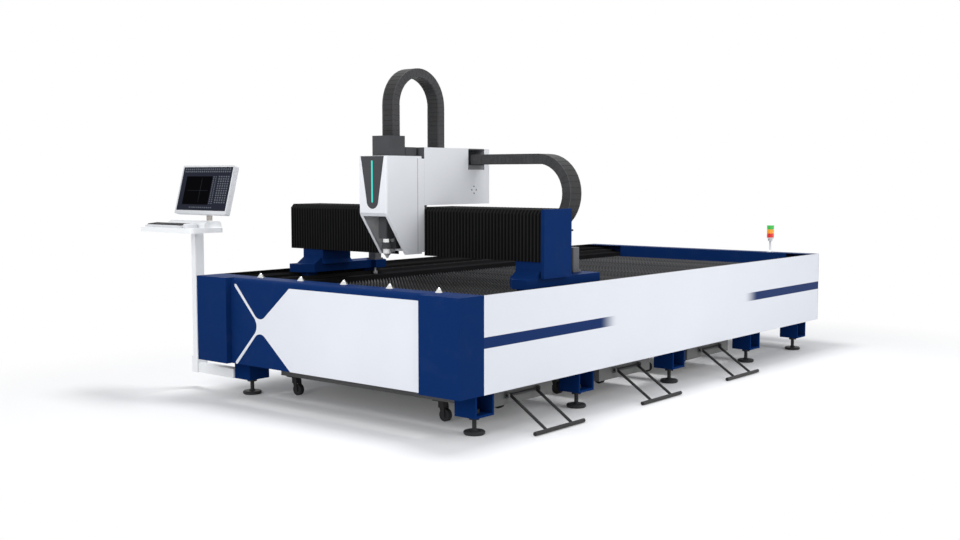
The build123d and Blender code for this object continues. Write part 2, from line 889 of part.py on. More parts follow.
def make_y_motors():
    body = gear_motor(base_z[1])
    return [Pos(-pinion_x, motor_y, 0) * body, Pos(pinion_x, motor_y, 0) * body]


def make_y_pinion(side):
    low = rail_seat + running_gap
    return [Pos(side * pinion_x, motor_y, 0) * pinion(low, base_z[1] - running_gap)]


# Tray behind the beam for the lower run of the cross chain
def make_chain_tray():
    low = x_chain_low - x_chain_thickness / 2 - running_gap
    tray_span = (x_chain_bend - x_chain_lower - tray_left_spare, x_chain_bend)
    inner_y = shrink(x_chain_y, -tray_play)
    outer_y = (beam_y[1], inner_y[1] + tray_cheek)
    floor = span(tray_span, outer_y, (low - tray_floor, low))
    cheek_z = (low - tray_floor, low + tray_cheek_height)
    back = span(tray_span, (inner_y[1], outer_y[1]), cheek_z)
    front = span(tray_span, (inner_y[0] - tray_cheek, inner_y[0]), cheek_z)
    return [floor + back + front]


# Drag chains: links of full section with thinner necks between them
def chain_run(length, width, thickness, link, neck):
    count = max(1, round(length / (link + neck)))
    pitch = length / count
    share = link / (link + neck)
    body = Pos(length / 2, 0, 0) * Box(length, width - 2 * link_step, thickness - 2 * link_step)
    for k in range(count):
        body += Pos((k + 0.5) * pitch, 0, 0) * Box(pitch * share, width, thickness)
    return body


def chain_arc(radius, width, thickness, link, neck):
    count = max(2, round(pi * radius / (link + neck)))
    turn = 180 / count
    share = link / (link + neck)
    ring = Plane.XZ * (Pos(radius, 0) * Rectangle(thickness - 2 * link_step, width - 2 * link_step))
    body = revolve(ring, Axis.Z, 180)
    block = Plane.XZ * (Pos(radius, 0) * Rectangle(thickness, width))
    for k in range(count):
        body += Rot(0, 0, (k + (1 - share) / 2) * turn) * revolve(block, Axis.Z, share * turn)
    return body


def x_chain_place(z):
    return Pos(0, x_chain_center, z)


def make_x_chain_upper():
    length = x_chain_bend - carriage_x[1]
    run = chain_run(length, x_chain_width, x_chain_thickness, x_link, x_link_neck)
    return [x_chain_place(x_chain_top) * Pos(carriage_x[1], 0, 0) * run]


def make_x_chain_bend():
    run = chain_run(x_chain_lower, x_chain_width, x_chain_thickness, x_link, x_link_neck)
    arc = chain_arc(x_chain_radius, x_chain_width, x_chain_thickness, x_link, x_link_neck)
    arc = Rot(90, 0, 0) * Rot(0, 0, -90) * arc
    low = x_chain_place(x_chain_low) * Pos(x_chain_bend - x_chain_lower, 0, 0) * run
    return [low + x_chain_place(x_chain_level) * Pos(x_chain_bend, 0, 0) * arc]


def make_z_chain():
    front_low, back_low = fibre_box_top, box_top
    arc = chain_arc(z_chain_radius, z_chain_width, z_chain_thickness, z_link, z_link_neck)
    arc = Pos(0, z_chain_front + z_chain_radius, z_chain_level) * Rot(0, 0, 90) * Rot(90, 0, 0) * arc
    for y, low in ((z_chain_front, front_low), (z_chain_back, back_low)):
        run = chain_run(z_chain_level - low, z_chain_width, z_chain_thickness, z_link, z_link_neck)
        arc += Pos(0, y, low) * Rot(0, 0, 90) * Rot(0, -90, 0) * run
    return [arc]


# Saddle plate with its sliders on the beam's rails
def make_saddle():
    plate = span(carriage_x, saddle_y, (saddle_bottom, saddle_top))
    block_x = (carriage_x[0], carriage_x[0] + x_slider_length)
    block_y = (saddle_y[1], x_rail_y[1] - x_rail / 2)
    for z in x_rail_z:
        groove = span(shrink(carriage_x, -overrun), (x_rail_y[0] - running_gap, block_y[1] + overrun),
                      around(z, x_rail + 2 * running_gap))
        for x in (block_x, flip(block_x)):
            plate += span(x, block_y, around(z, x_slider_height)) - groove
    bracket_y = (screw_y - z_motor_width / 2, saddle_y[0])
    bracket = span(around(0, z_motor_width), bracket_y, (z_motor_bottom - z_bracket, z_motor_bottom))
    hole_z = (z_motor_bottom - z_bracket - overrun, z_motor_bottom + overrun)
    return [plate + bracket - rod_z(screw_radius + running_gap, 0, screw_y, hole_z)]


# Housing that bridges the beam and holds the chain's moving end
def make_chain_box():
    body = span(carriage_x, box_y, box_z)
    body -= span(shrink(carriage_x, box_wall), shrink(box_y, box_wall), shrink(box_z, box_wall))
    port_y = (chain_port_front, chain_port_front + chain_port_length)
    port_z = (box_z[1] - box_wall - chain_port_height, box_z[1] - box_wall)
    wall_x = (carriage_x[1] - box_wall - overrun, carriage_x[1] + overrun)
    body -= span(wall_x, port_y, port_z)
    for k in range(4):
        turn = Rot(90 * k, 0, 0) * Pos(0, bolt_spread / 2, 0)
        middle = Pos(carriage_x[1], port_y[0] + bolt_setback, port_z[0] - bolt_drop + bolt_spread)
        hole = middle * turn * Rot(0, 90, 0) * Cylinder(bolt_hole_radius, 2 * (box_wall + overrun))
        body -= hole
    floor_z = (box_z[0] - overrun, box_z[0] + box_wall + overrun)
    body -= rod_z(shaft_radius + running_gap, 0, x_pinion_y, floor_z)
    roof_z = (box_z[1] - box_wall - overrun, box_z[1] + overrun)
    inlet_x = around(0, z_chain_width - 4 * link_step)
    inlet_y = around(z_chain_back, z_chain_thickness - 4 * link_step)
    body -= span(inlet_x, inlet_y, roof_z)
    clamp_x = (carriage_x[0] + box_wall, carriage_x[1])
    clamp_z = (port_z[0], x_chain_top - x_chain_thickness / 2 - link_step)
    return [body + span(clamp_x, shrink(port_y, bolt_hole_radius), clamp_z)]


def make_x_motor():
    return [Pos(0, x_pinion_y, 0) * gear_motor(box_z[0] + box_wall)]


def make_x_pinion():
    low = beam_z[1] + running_gap
    return [Pos(0, x_pinion_y, 0) * pinion(low, box_z[0] + box_wall - running_gap)]


# Head cover: a shell open at the back and below, with a sloping chin
def cover_outline(offset, back):
    return [
        (cover_front + offset, cover_top - offset),
        (cover_front + offset, cover_chin_top - offset / 2),
        (cover_chin_back + offset, cover_bottom - (overrun if offset else 0)),
        (back, cover_bottom - (overrun if offset else 0)),
        (back, cover_top - offset),
    ]


def make_head_cover():
    body = prism_x(cover_outline(0, saddle_y[0]), carriage_x)
    front_edges = body.edges().filter_by(Axis.Z).group_by(Axis.Y)[0]
    body = fillet(front_edges, cover_edge)
    body -= prism_x(cover_outline(cover_wall, saddle_y[0] + overrun), shrink(carriage_x, cover_wall))
    slope = (cover_chin_back - cover_front) / (cover_chin_top - cover_bottom)
    chin_z = (cover_bottom - overrun, cover_chin_top - chin_margin)
    chin_low = cover_front + slope * (cover_chin_top - chin_z[0])
    chin_high = cover_front + slope * chin_margin
    reach = cover_wall + chin_margin
    window = [
        (chin_low - reach, chin_z[0]),
        (chin_low + reach, chin_z[0]),
        (chin_high + reach, chin_z[1]),
        (chin_high - reach, chin_z[1]),
    ]
    body -= prism_x(window, shrink(carriage_x, chin_margin))
    slot_x = around(0, fibre_box_width + 2 * cover_slot_gap)
    slot_y = (fibre_box_y[0] - cover_slot_gap, saddle_y[0] + overrun)
    return [body - span(slot_x, slot_y, (cover_top - cover_wall - overrun, cover_top + overrun))]


def inlay_face():
    top_z = cover_top - inlay_thickness
    low_z = top_z - inlay_drop
    half = inlay_top_width / 2
    outline = [(-half, top_z), (half, top_z), (inlay_radius, low_z), (-inlay_radius, low_z)]
    face = make_face(Polyline(*outline, close=True))
    return face + Pos(0, low_z) * Circle(inlay_radius)


def make_cover_inlay():
    return [extrude(Plane.XZ.offset(-cover_front) * inlay_face(), amount=inlay_thickness)]


def make_light_strip():
    strip_z = cover_top - strip_top_gap
    slot = Pos(0, strip_z - strip_height / 2) * SlotOverall(strip_height, strip_width, rotation=90)
    return [extrude(Plane.XZ.offset(inlay_thickness - cover_front) * slot, amount=strip_rise)]


# Vertical axis: rails, screw, motor, sliding plate and the cutting head
def make_z_rails():
    rail_z = (z_rail_bottom, z_rail_bottom + z_rail_length)
    return [span(around(x, z_rail), z_rail_y, rail_z) for x in around(0, z_rail_spread)]


def make_z_screw():
    shaft = rod_z(screw_radius, 0, screw_y, (z_rail_bottom, z_motor_bottom - running_gap))
    collar_top = z_motor_bottom - z_bracket - running_gap
    return [shaft + rod_z(screw_collar_radius, 0, screw_y, (collar_top - screw_collar_height, collar_top))]


def make_z_motor():
    hood_span = (screw_y - z_motor_width / 2, saddle_y[0])
    body = span(around(0, z_motor_hood), hood_span, (z_motor_bottom, box_top))
    return [fillet(body.edges().filter_by(Axis.Z).group_by(Axis.Y)[0], motor_flange / 2)]


def make_z_plate():
    plate = span(around(0, z_plate_width), z_plate_y, z_plate_z)
    for x in around(0, z_rail_spread):
        groove = span(around(x, z_rail + 2 * running_gap), (z_rail_y[0] - running_gap, z_rail_y[1]),
                      shrink(z_plate_z, -overrun))
        for low in (z_plate_z[0], z_plate_z[1] - z_slider_length):
            block = span(around(x, z_slider_width), z_slider_y, (low, low + z_slider_length))
            plate += block - groove
    nut_z = around((z_plate_z[0] + z_plate_z[1]) / 2, nut_height)
    plate += rod_z(nut_radius, 0, screw_y, nut_z)
    plate += span(around(0, 2 * nut_radius), (screw_y, z_plate_y[0]), nut_z)
    plate -= rod_z(screw_radius + bore_gap, 0, screw_y, shrink(nut_z, -overrun))
    arm_y = (head_y + head_depth / 2, z_plate_y[1])
    for x in (z_plate_width / 2 - z_plate_thickness, -z_plate_width / 2):
        plate += span((x, x + z_plate_thickness), arm_y, z_plate_z)
    cross = span(around(0, z_plate_width), (arm_y[0], arm_y[0] + z_bracket), z_plate_z)
    return [plate + cross]


def make_head_body():
    body = span(around(0, head_width), around(head_y, head_depth), (head_bottom, head_top))
    body = fillet(body.edges().filter_by(Axis.Z), motor_flange)
    collar_z = (nozzle_top(), nozzle_top() + collar_height)
    neck = rod_z(head_neck_radius, 0, head_y, (nozzle_top(), head_bottom))
    return [body + neck + rod_z(collar_radius, 0, head_y, collar_z)]


def nozzle_top():
    return head_bottom - head_ring_height - collar_height


def make_head_ring():
    ring_z = (head_bottom - head_ring_height, head_bottom)
    ring = rod_z(head_ring_radius, 0, head_y, ring_z)
    return [ring - rod_z(head_neck_radius, 0, head_y, ring_z)]


def make_nozzle():
    top = nozzle_top()
    low = top - nozzle_height
    outline = [
        (nozzle_bore_radius, low),
        (nozzle_tip_radius, low),
        (2 * nozzle_tip_radius, low + nozzle_tip_height),
        (nozzle_radius, low + nozzle_height / 2),
        (nozzle_radius, top),
        (nozzle_bore_radius, top),
    ]
    cone = revolve(Plane.XZ * make_face(Polyline(*outline, close=True)), Axis.Z)
    return [Pos(0, head_y, 0) * cone]


def make_fibre_box():
    box = span(around(0, fibre_box_width), fibre_box_y, (head_top, fibre_box_top))
    return [box]


# Scrap trolley: open tray on four casters, with a pull handle hinged at its right end
def make_trolley(y):
    tray_span = ((trolley_left, trolley_right), around(y, trolley_width), (trolley_bottom, trolley_top))
    pocket_z = (trolley_bottom + sheet, trolley_top + overrun)
    tray = span(*tray_span) - span(shrink(tray_span[0], sheet), shrink(tray_span[1], sheet), pocket_z)
    reach = rod_spread / 2 + rod_radius + lug_gap
    for low in (y + reach, y - reach - lug_thickness):
        lug_y = (low, low + lug_thickness)
        lug = span((trolley_right, pivot_x), lug_y, around(handle_pivot_height, lug_height))
        lug += rod_y(lug_height / 2, pivot_x, lug_y, handle_pivot_height)
        lug -= rod_y(pivot_radius + bore_gap, pivot_x, shrink(lug_y, -overrun), handle_pivot_height)
        tray += lug
    return [tray]


def caster(x, y):
    plate_z = (trolley_bottom - caster_plate_height, trolley_bottom)
    plate = span(around(x, caster_plate), around(y, caster_plate), plate_z)
    fork_low = wheel_radius - fork_width / 4
    wheel_x = x + caster_trail
    fork_outline = [
        (x - fork_width / 2, plate_z[0]),
        (x + fork_width / 2, plate_z[0]),
        (wheel_x + fork_width / 4, fork_low),
        (wheel_x - fork_width / 4, fork_low),
    ]
    inner = wheel_width / 2 + fork_gap
    crown_z = (2 * wheel_radius + fork_gap, plate_z[0])
    body = plate + span(around(x, fork_width), around(y, 2 * inner), crown_z)
    for fork_y in ((y + inner, y + inner + fork_wall), (y - inner - fork_wall, y - inner)):
        body += prism_y(fork_outline, fork_y)
    body += rod_y(pivot_radius, wheel_x, around(y, 2 * (inner + fork_wall)), wheel_radius)
    wheel = rod_y(wheel_radius, wheel_x, around(y, wheel_width), wheel_radius)
    return body + wheel


def make_casters(y):
    rows = shrink(around(y, trolley_width), caster_inset)
    return [caster(x, row) for x in (caster_left, caster_right) for row in rows]


def handle_angle():
    bar_height = handle_bar_radius + handle_floor_gap
    return degrees(asin((handle_pivot_height - bar_height) / handle_reach))


def make_handle(y):
    pin_reach = rod_spread / 2 + rod_radius + lug_gap + lug_thickness
    body = rod_y(pivot_radius, 0, (-pin_reach, pin_reach), 0)
    for rod in around(0, rod_spread):
        body += rod_x(rod_radius, (0, handle_reach), rod, 0)
    body += rod_y(handle_bar_radius, handle_reach, around(0, handle_bar_length), 0)
    return [Pos(pivot_x, y, handle_pivot_height) * Rot(0, handle_angle(), 0) * body]


nodes = {
    "bed_frame": make_bed_frame(),
    "foot_screws": make_foot_screws(),
    "foot_pads": make_foot_pads(),
    "right_side_panel": make_right_panel(),
    "left_side_panel": make_left_panel(),
    "left_trough": make_trough(),
    "rail_covers": make_rail_covers(),
    "corner_covers": make_corner_covers(),
    "front_cover": make_front_cover(),
    "front_field": make_front_field(),
    "rear_cover": make_rear_cover(),
    "slat_combs": make_slat_combs(),
    "slats": make_slats(),
    "ball_transfers": make_ball_transfers(),
    "y_rails": make_y_rails(),
    "beacon_stem": make_beacon_stem(),
    "beacon_red": make_beacon_lens(0),
    "beacon_amber": make_beacon_lens(1),
    "beacon_green": make_beacon_lens(2),
    "console_post": make_console_post(),
    "keyboard_tray": make_keyboard_tray(),
    "tray_hood": make_tray_hood(),
    "keyboard_and_mouse": make_keyboard() + make_mouse(),
    "monitor_stand": make_monitor_stand(),
    "monitor_housing": make_monitor_housing(),
    "monitor_screen": make_monitor_screen(),
    "gantry_beam": make_gantry_beam(),
    "right_pedestal": make_right_pedestal(),
    "left_pedestal": make_left_pedestal(),
    "x_rails": make_x_rails(),
    "bellows_left": make_bellows(beam_x[0], carriage_x[0]),
    "bellows_right": make_bellows(carriage_x[1], beam_x[1]),
    "chain_tray": make_chain_tray(),
    "y_motors": make_y_motors(),
    "left_pinion": make_y_pinion(-1),
    "right_pinion": make_y_pinion(1),
    "saddle": make_saddle(),
    "chain_box": make_chain_box(),
    "x_motor": make_x_motor(),
    "x_pinion": make_x_pinion(),
    "head_cover": make_head_cover(),
    "cover_inlay": make_cover_inlay(),
    "light_strip": make_light_strip(),
    "z_rails": make_z_rails(),
    "z_screw": make_z_screw(),
    "z_motor": make_z_motor(),
    "x_chain_upper": make_x_chain_upper(),
    "x_chain_bend": make_x_chain_bend(),
    "z_plate": make_z_plate(),
    "head_body": make_head_body(),
    "head_ring": make_head_ring(),
    "nozzle": make_nozzle(),
    "fibre_box": make_fibre_box(),
    "z_chain": make_z_chain(),
}
for number, place in enumerate(trolley_y, 1):
    nodes[f"trolley_{number}"] = make_trolley(place) + make_casters(place)
    nodes[f"handle_{number}"] = make_handle(place)

# Move the origin to the middle of the footprint and write one file for each node
groups = {}
for name, shapes in nodes.items():
    groups[name] = Compound(children=[solid for shape in shapes for solid in shape.solids()])
boxes = [group.bounding_box() for group in groups.values()]
middle_x = (min(box.min.X for box in boxes) + max(box.max.X for box in boxes)) / 2
middle_y = (min(box.min.Y for box in boxes) + max(box.max.Y for box in boxes)) / 2
os.makedirs("parts", exist_ok=True)
for name, group in groups.items():
    export_step(Pos(-middle_x, -middle_y, 0) * group, f"parts/{name}.step")
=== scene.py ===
import bmesh
import bpy
import math
from mathutils import Matrix, Vector


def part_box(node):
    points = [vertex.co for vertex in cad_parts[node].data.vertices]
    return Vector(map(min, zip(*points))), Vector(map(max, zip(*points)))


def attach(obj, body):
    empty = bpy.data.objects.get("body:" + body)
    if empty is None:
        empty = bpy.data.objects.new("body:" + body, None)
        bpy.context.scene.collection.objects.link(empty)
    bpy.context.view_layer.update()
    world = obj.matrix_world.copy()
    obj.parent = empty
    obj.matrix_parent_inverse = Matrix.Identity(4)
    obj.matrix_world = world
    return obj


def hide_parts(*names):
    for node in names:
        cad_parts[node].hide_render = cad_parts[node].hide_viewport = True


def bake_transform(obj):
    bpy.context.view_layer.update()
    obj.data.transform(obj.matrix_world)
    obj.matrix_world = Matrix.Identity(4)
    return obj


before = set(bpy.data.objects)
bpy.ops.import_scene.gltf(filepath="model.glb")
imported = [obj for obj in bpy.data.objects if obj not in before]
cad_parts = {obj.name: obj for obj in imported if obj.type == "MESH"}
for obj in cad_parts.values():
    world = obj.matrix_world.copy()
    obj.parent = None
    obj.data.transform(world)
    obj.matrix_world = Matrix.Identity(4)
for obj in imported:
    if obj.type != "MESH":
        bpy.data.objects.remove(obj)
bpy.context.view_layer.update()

# the machine's own marks: x from the head's centre line, y from the bed's front, z from the floor
coverLow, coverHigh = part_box("head_cover")
bedMiddle = (coverLow.x + coverHigh.x) / 2
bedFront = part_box("corner_covers")[0].y


def place(x, y, z):
    return Vector((bedMiddle + x, bedFront + y, z))


print("frame loaded")


# maths on the sockets of one node tree
class Wire:
    def __init__(self, book, socket):
        self.book = book
        self.socket = socket

    def maths(self, operation, first, second):
        return self.book.node("ShaderNodeMath", {"operation": operation}, {0: first, 1: second})

    def __abs__(self):
        return self.book.node("ShaderNodeMath", {"operation": "ABSOLUTE"}, {0: self})

    def __add__(self, other):
        return self.maths("ADD", self, other)

    def __radd__(self, other):
        return self.maths("ADD", other, self)

    def __sub__(self, other):
        return self.maths("SUBTRACT", self, other)

    def __rsub__(self, other):
        return self.maths("SUBTRACT", other, self)

    def __mul__(self, other):
        return self.maths("MULTIPLY", self, other)

    def __rmul__(self, other):
        return self.maths("MULTIPLY", other, self)

    def __truediv__(self, other):
        return self.maths("DIVIDE", self, other)

    def __mod__(self, other):
        return self.maths("FLOORED_MODULO", self, other)

    def __gt__(self, other):
        return self.maths("GREATER_THAN", self, other)

    def __lt__(self, other):
        return self.maths("LESS_THAN", self, other)


# one maker for every node of a material, the world or a geometry tree
class NodeBook:
    def __init__(self, tree):
        self.tree = tree

    def node(self, kind, settings, inputs, out=0):
        made = self.tree.nodes.new(kind)
        for key, value in settings.items():
            setattr(made, key, value)
        self.feed(made, inputs)
        if isinstance(out, tuple):
            return [Wire(self, made.outputs[key]) for key in out]
        return Wire(self, made.outputs[out])

    def feed(self, target, inputs):
        for key, value in inputs.items():
            if isinstance(value, Wire):
                self.tree.links.new(value.socket, target.inputs[key])
            else:
                target.inputs[key].default_value = value

    # one for a ray from the eye, straight or by way of a mirror or glass, and zero for others
    def inSight(self):
        rays = ("Is Camera Ray", "Is Glossy Ray", "Is Transmission Ray")
        seen, glossy, clear = self.node("ShaderNodeLightPath", {}, {}, rays)
        return seen + glossy + clear


# noise that the finishes share, with soft edges where it makes patches
patterns = {
    "drift": {"scale": 1.7, "detail": 2.0},
    "peel": {"scale": 620.0, "detail": 2.0},
    "film": {"scale": 9.0, "detail": 6.0, "rough": 0.62, "edges": (0.48, 0.78)},
    "drawn": {"scale": 1.0, "detail": 3.0, "rough": 0.6},
    "stain": {"scale": 14.0, "detail": 5.0, "rough": 0.6, "edges": (0.4, 0.75)},
    "pits": {"scale": 1500.0, "detail": 2.0},
    "wipe": {"scale": 11.0, "detail": 4.0, "rough": 0.6, "edges": (0.42, 0.72)},
    "sheetDrift": {"scale": 1.4, "detail": 2.0},
    "sheetFilm": {"scale": 7.0, "detail": 6.0, "rough": 0.62, "edges": (0.5, 0.8)},
    "sheetPeel": {"scale": 600.0, "detail": 2.0},
    "mill": {"scale": 26.0, "detail": 6.0, "rough": 0.65},
    "rust": {"scale": 8.0, "detail": 5.0, "rough": 0.6, "edges": (0.5, 0.75)},
    "blade": {"scale": 1.0, "detail": 1.0, "edges": (0.38, 0.62)},
    "fade": {"scale": 6.0, "detail": 4.0},
    "flicker": {"scale": 160.0, "detail": 2.0},
}
evenRough = 0.5
coatDepth = 0.0004


def tint(colour, share):
    return tuple(min(1.0, part * share) for part in colour) + (1.0,)


class Finish(NodeBook):
    def __init__(self, name):
        self.material = bpy.data.materials.new(name)
        self.material.use_nodes = True
        super().__init__(self.material.node_tree)
        self.shader = self.tree.nodes["Principled BSDF"]
        self.where = self.node("ShaderNodeTexCoord", {}, {}, "Object")

    def pattern(self, kind, where=None):
        look = patterns[kind]
        spots = {"Vector": where or self.where, "Scale": look["scale"], "Detail": look["detail"],
                 "Roughness": look.get("rough", evenRough)}
        value = self.node("ShaderNodeTexNoise", {}, spots)
        return self.step(value, *look["edges"]) if "edges" in look else value

    def stretched(self, scale):
        return self.node("ShaderNodeMapping", {}, {"Vector": self.where, "Scale": scale})

    def mix(self, share, first, second):
        ends = {0: share, 6: first, 7: second}
        return self.node("ShaderNodeMix", {"data_type": "RGBA"}, ends, 2)

    def tones(self, share, colour, low, high):
        return self.mix(share, tint(colour, low), tint(colour, high))

    def step(self, value, low, high):
        ends = {"Value": value, "From Min": low, "From Max": high}
        return self.node("ShaderNodeMapRange", {"interpolation_type": "SMOOTHSTEP"}, ends)

    def ribs(self, value, pitch, edges):
        return self.step((value % pitch) * (1 / pitch), *edges)

    def axes(self):
        return self.node("ShaderNodeSeparateXYZ", {}, {0: self.where}, (0, 1, 2))

    def marked(self, name):
        return self.node("ShaderNodeAttribute", {"attribute_name": name}, {}, "Fac")

    def bump(self, height, strength, depth):
        sizes = {"Strength": strength, "Distance": depth, "Height": height}
        return self.node("ShaderNodeBump", {}, sizes)

    def wear(self, inputs):
        self.feed(self.shader, inputs)
        return self.material


# powder coat: a slow drift of tone, fine orange peel and faint dust
paintLook = {"tones": (0.93, 1.07), "dustTone": 0.55, "dustShare": 0.16, "driftRough": 0.08,
             "dustRough": 1.2}


def paintFinish(name, colour, gloss, peel, dust, shine=0.3):
    paint = Finish(name)
    drift = paint.pattern("drift")
    film = paint.pattern("film") * dust
    base = paint.tones(drift, colour, *paintLook["tones"])
    pale = [part + (paintLook["dustTone"] - part) * paintLook["dustShare"] for part in colour]
    return paint.wear({
        "Base Color": paint.mix(film, base, tint(pale, 1.0)),
        "Roughness": gloss + paintLook["driftRough"] * drift + paintLook["dustRough"] * film,
        "Specular IOR Level": shine,
        "Normal": paint.bump(paint.pattern("peel"), peel, coatDepth),
    })


# bare metal: grain drawn along one axis, with soft stains
metalLook = {"tones": (0.78, 1.15), "stainTone": 0.45, "grainRough": 0.16, "stainRough": 0.2,
             "grainBump": 0.12, "grainDepth": 0.0003}


def metalFinish(name, colour, gloss, grain, stain=0.2, bare=1.0):
    metal = Finish(name)
    lines = metal.pattern("drawn", metal.stretched(grain))
    cloud = metal.pattern("stain") * stain
    base = metal.tones(lines, colour, *metalLook["tones"])
    return metal.wear({
        "Base Color": metal.mix(cloud, base, tint(colour, metalLook["stainTone"])),
        "Metallic": bare,
        "Roughness": gloss + metalLook["grainRough"] * lines + metalLook["stainRough"] * cloud,
        "Normal": metal.bump(lines, metalLook["grainBump"], metalLook["grainDepth"]),
    })


# moulded plastic: spark-eroded texture with a soft wipe of handling marks
plasticLook = {"tones": (0.97, 1.03), "wipeRough": 0.12, "pitDepth": 0.0002, "shine": 0.2}


def plasticFinish(name, colour, gloss, grit):
    plastic = Finish(name)
    wipe = plastic.pattern("wipe")
    return plastic.wear({
        "Base Color": plastic.tones(wipe, colour, *plasticLook["tones"]),
        "Roughness": gloss + plasticLook["wipeRough"] * wipe,
        "Specular IOR Level": plasticLook["shine"],
        "Normal": plastic.bump(plastic.pattern("pits"), grit, plasticLook["pitDepth"]),
    })


# chain links: paler cheeks and darker lids, told apart by the mesh's own attribute
chainLook = {"cheek": (0.062, 0.062, 0.064), "lid": (0.038, 0.038, 0.039), "tones": (0.9, 1.12),
             "gloss": 0.44, "grit": 0.25, "shine": 0.12}


def chainFinish(name):
    links = Finish(name)
    wipe = links.pattern("wipe")
    pale = links.tones(wipe, chainLook["cheek"], *chainLook["tones"])
    dark = links.tones(wipe, chainLook["lid"], *chainLook["tones"])
    pits = links.pattern("pits")
    return links.wear({
        "Base Color": links.mix(links.marked("cheek"), dark, pale),
        "Roughness": chainLook["gloss"] + plasticLook["wipeRough"] * wipe,
        "Specular IOR Level": chainLook["shine"],
        "Normal": links.bump(pits, chainLook["grit"], plasticLook["pitDepth"]),
    })


# beacon lens: clear-coated colour with moulded ribs
lensLook = {"pitch": 0.005, "edges": (0.2, 0.8), "tones": (0.75, 1.1), "gloss": 0.16,
            "ribRough": 0.08, "coat": 0.6, "glow": 0.25, "ribBump": 0.4, "ribDepth": 0.0008}


def lensFinish(name, colour):
    lens = Finish(name)
    rib = lens.ribs(lens.axes()[2], lensLook["pitch"], lensLook["edges"])
    return lens.wear({
        "Base Color": lens.tones(rib, colour, *lensLook["tones"]),
        "Roughness": lensLook["gloss"] + lensLook["ribRough"] * rib,
        "Coat Weight": lensLook["coat"],
        "Emission Color": tint(colour, 1.0),
        "Emission Strength": lensLook["glow"],
        "Normal": lens.bump(rib, lensLook["ribBump"], lensLook["ribDepth"]),
    })


# side panel: white coat with two blue bands that fade towards the middle; its inner side and edges
# are painted near black as painted shade
sideBand = {"low": 0.498, "high": 0.561, "blur": 0.001, "frontEnd": 1.36, "frontFade": 1.56,
            "rearFade": 3.32, "rearEnd": 3.54, "skin": 0.0015}
panelLook = {"inside": (0.013, 0.013, 0.014), "tones": (0.965, 1.03), "gloss": 0.36,
             "driftRough": 0.07, "filmRough": 0.05, "peel": 0.1, "shine": 0.06}


def bandFinish(name, coat, band):
    panel = Finish(name)
    x, y, z = panel.axes()
    along, blur, skin = y - bedFront, sideBand["blur"], sideBand["skin"]
    level = panel.step(z, sideBand["low"] - blur, sideBand["low"] + blur)
    level = level * (1 - panel.step(z, sideBand["high"] - blur, sideBand["high"] + blur))
    front = 1 - panel.step(along, sideBand["frontEnd"], sideBand["frontFade"])
    rear = panel.step(along, sideBand["rearFade"], sideBand["rearEnd"])
    drift = panel.pattern("sheetDrift")
    film = panel.pattern("sheetFilm")
    white = panel.tones(drift, coat, *panelLook["tones"])
    outer = panel.mix(level * (front + rear), white, tint(band, 1.0))
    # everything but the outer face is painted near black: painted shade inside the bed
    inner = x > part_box("left_side_panel")[0].x + skin
    inner = inner * (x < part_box("right_side_panel")[1].x - skin)
    rough = panelLook["driftRough"] * drift + panelLook["filmRough"] * film
    return panel.wear({
        "Base Color": panel.mix(inner, outer, tint(panelLook["inside"], 1.0)),
        "Roughness": panelLook["gloss"] + rough,
        "Specular IOR Level": panelLook["shine"],
        "Normal": panel.bump(panel.pattern("sheetPeel"), panelLook["peel"], coatDepth),
    })


# cutting slats: hot-rolled scale with rust, and tips burnt pale, some blades more than others
slatLow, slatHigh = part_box("slats")
slatLook = {"scale": ((0.012, 0.012, 0.013, 1.0), (0.034, 0.034, 0.037, 1.0)),
            "rust": (0.06, 0.045, 0.036, 1.0), "rustShare": 0.5,
            "tip": ((0.05, 0.051, 0.054, 1.0), (0.12, 0.12, 0.124, 1.0)),
            "burntLow": 0.022, "burntHigh": 0.004, "bladeStretch": (0.4, 47.0, 0.4),
            "bare": 0.1, "gloss": 0.58, "scaleRough": 0.2, "scaleBump": 0.3, "scaleDepth": 0.0006}


def slatFinish(name):
    slat = Finish(name)
    height = slat.axes()[2]
    scale = slat.pattern("mill")
    low, high = slatHigh.z - slatLook["burntLow"], slatHigh.z - slatLook["burntHigh"]
    blade = slat.pattern("blade", slat.stretched(slatLook["bladeStretch"]))
    base = slat.mix(scale, *slatLook["scale"])
    wearAndSheen = slat.mix(slat.pattern("rust") * slatLook["rustShare"], base, slatLook["rust"])
    tip = slat.mix(blade, *slatLook["tip"])
    return slat.wear({
        "Base Color": slat.mix(slat.step(height, low, high), wearAndSheen, tip),
        "Metallic": slatLook["bare"],
        "Roughness": slatLook["gloss"] + slatLook["scaleRough"] * scale,
        "Normal": slat.bump(scale, slatLook["scaleBump"], slatLook["scaleDepth"]),
    })


# bellows: coated cloth with a fine weave; the front and top ridges of the folds are painted paler
# as painted highlight and the rest darker as painted shade in the folds
clothLook = {"thread": 0.0016, "threadEdges": (0.2, 0.8), "ridgeEdges": (0.35, 1.0),
             "valley": ((0.0022, 0.0022, 0.0024, 1.0), (0.004, 0.004, 0.0043, 1.0)),
             "ridge": ((0.015, 0.015, 0.0155, 1.0), (0.024, 0.024, 0.0246, 1.0)),
             "gloss": 0.62, "fadeRough": 0.14, "weaveBump": 0.25, "shine": 0.05}


def bellowsFinish(name):
    cloth = Finish(name)
    warp, weft = [cloth.ribs(axis, clothLook["thread"], clothLook["threadEdges"])
                  for axis in cloth.axes()[1:]]
    fade = cloth.pattern("fade")
    # painted highlight on the marked ridges, painted shade in the valleys between them
    ridge = cloth.step(cloth.marked("ridge"), *clothLook["ridgeEdges"])
    valley = cloth.mix(fade, *clothLook["valley"])
    wearAndSheen = cloth.mix(fade, *clothLook["ridge"])
    return cloth.wear({
        "Base Color": cloth.mix(ridge, valley, wearAndSheen),
        "Roughness": clothLook["gloss"] + clothLook["fadeRough"] * fade,
        "Specular IOR Level": clothLook["shine"],
        "Normal": cloth.bump(warp * weft, clothLook["weaveBump"], coatDepth),
    })


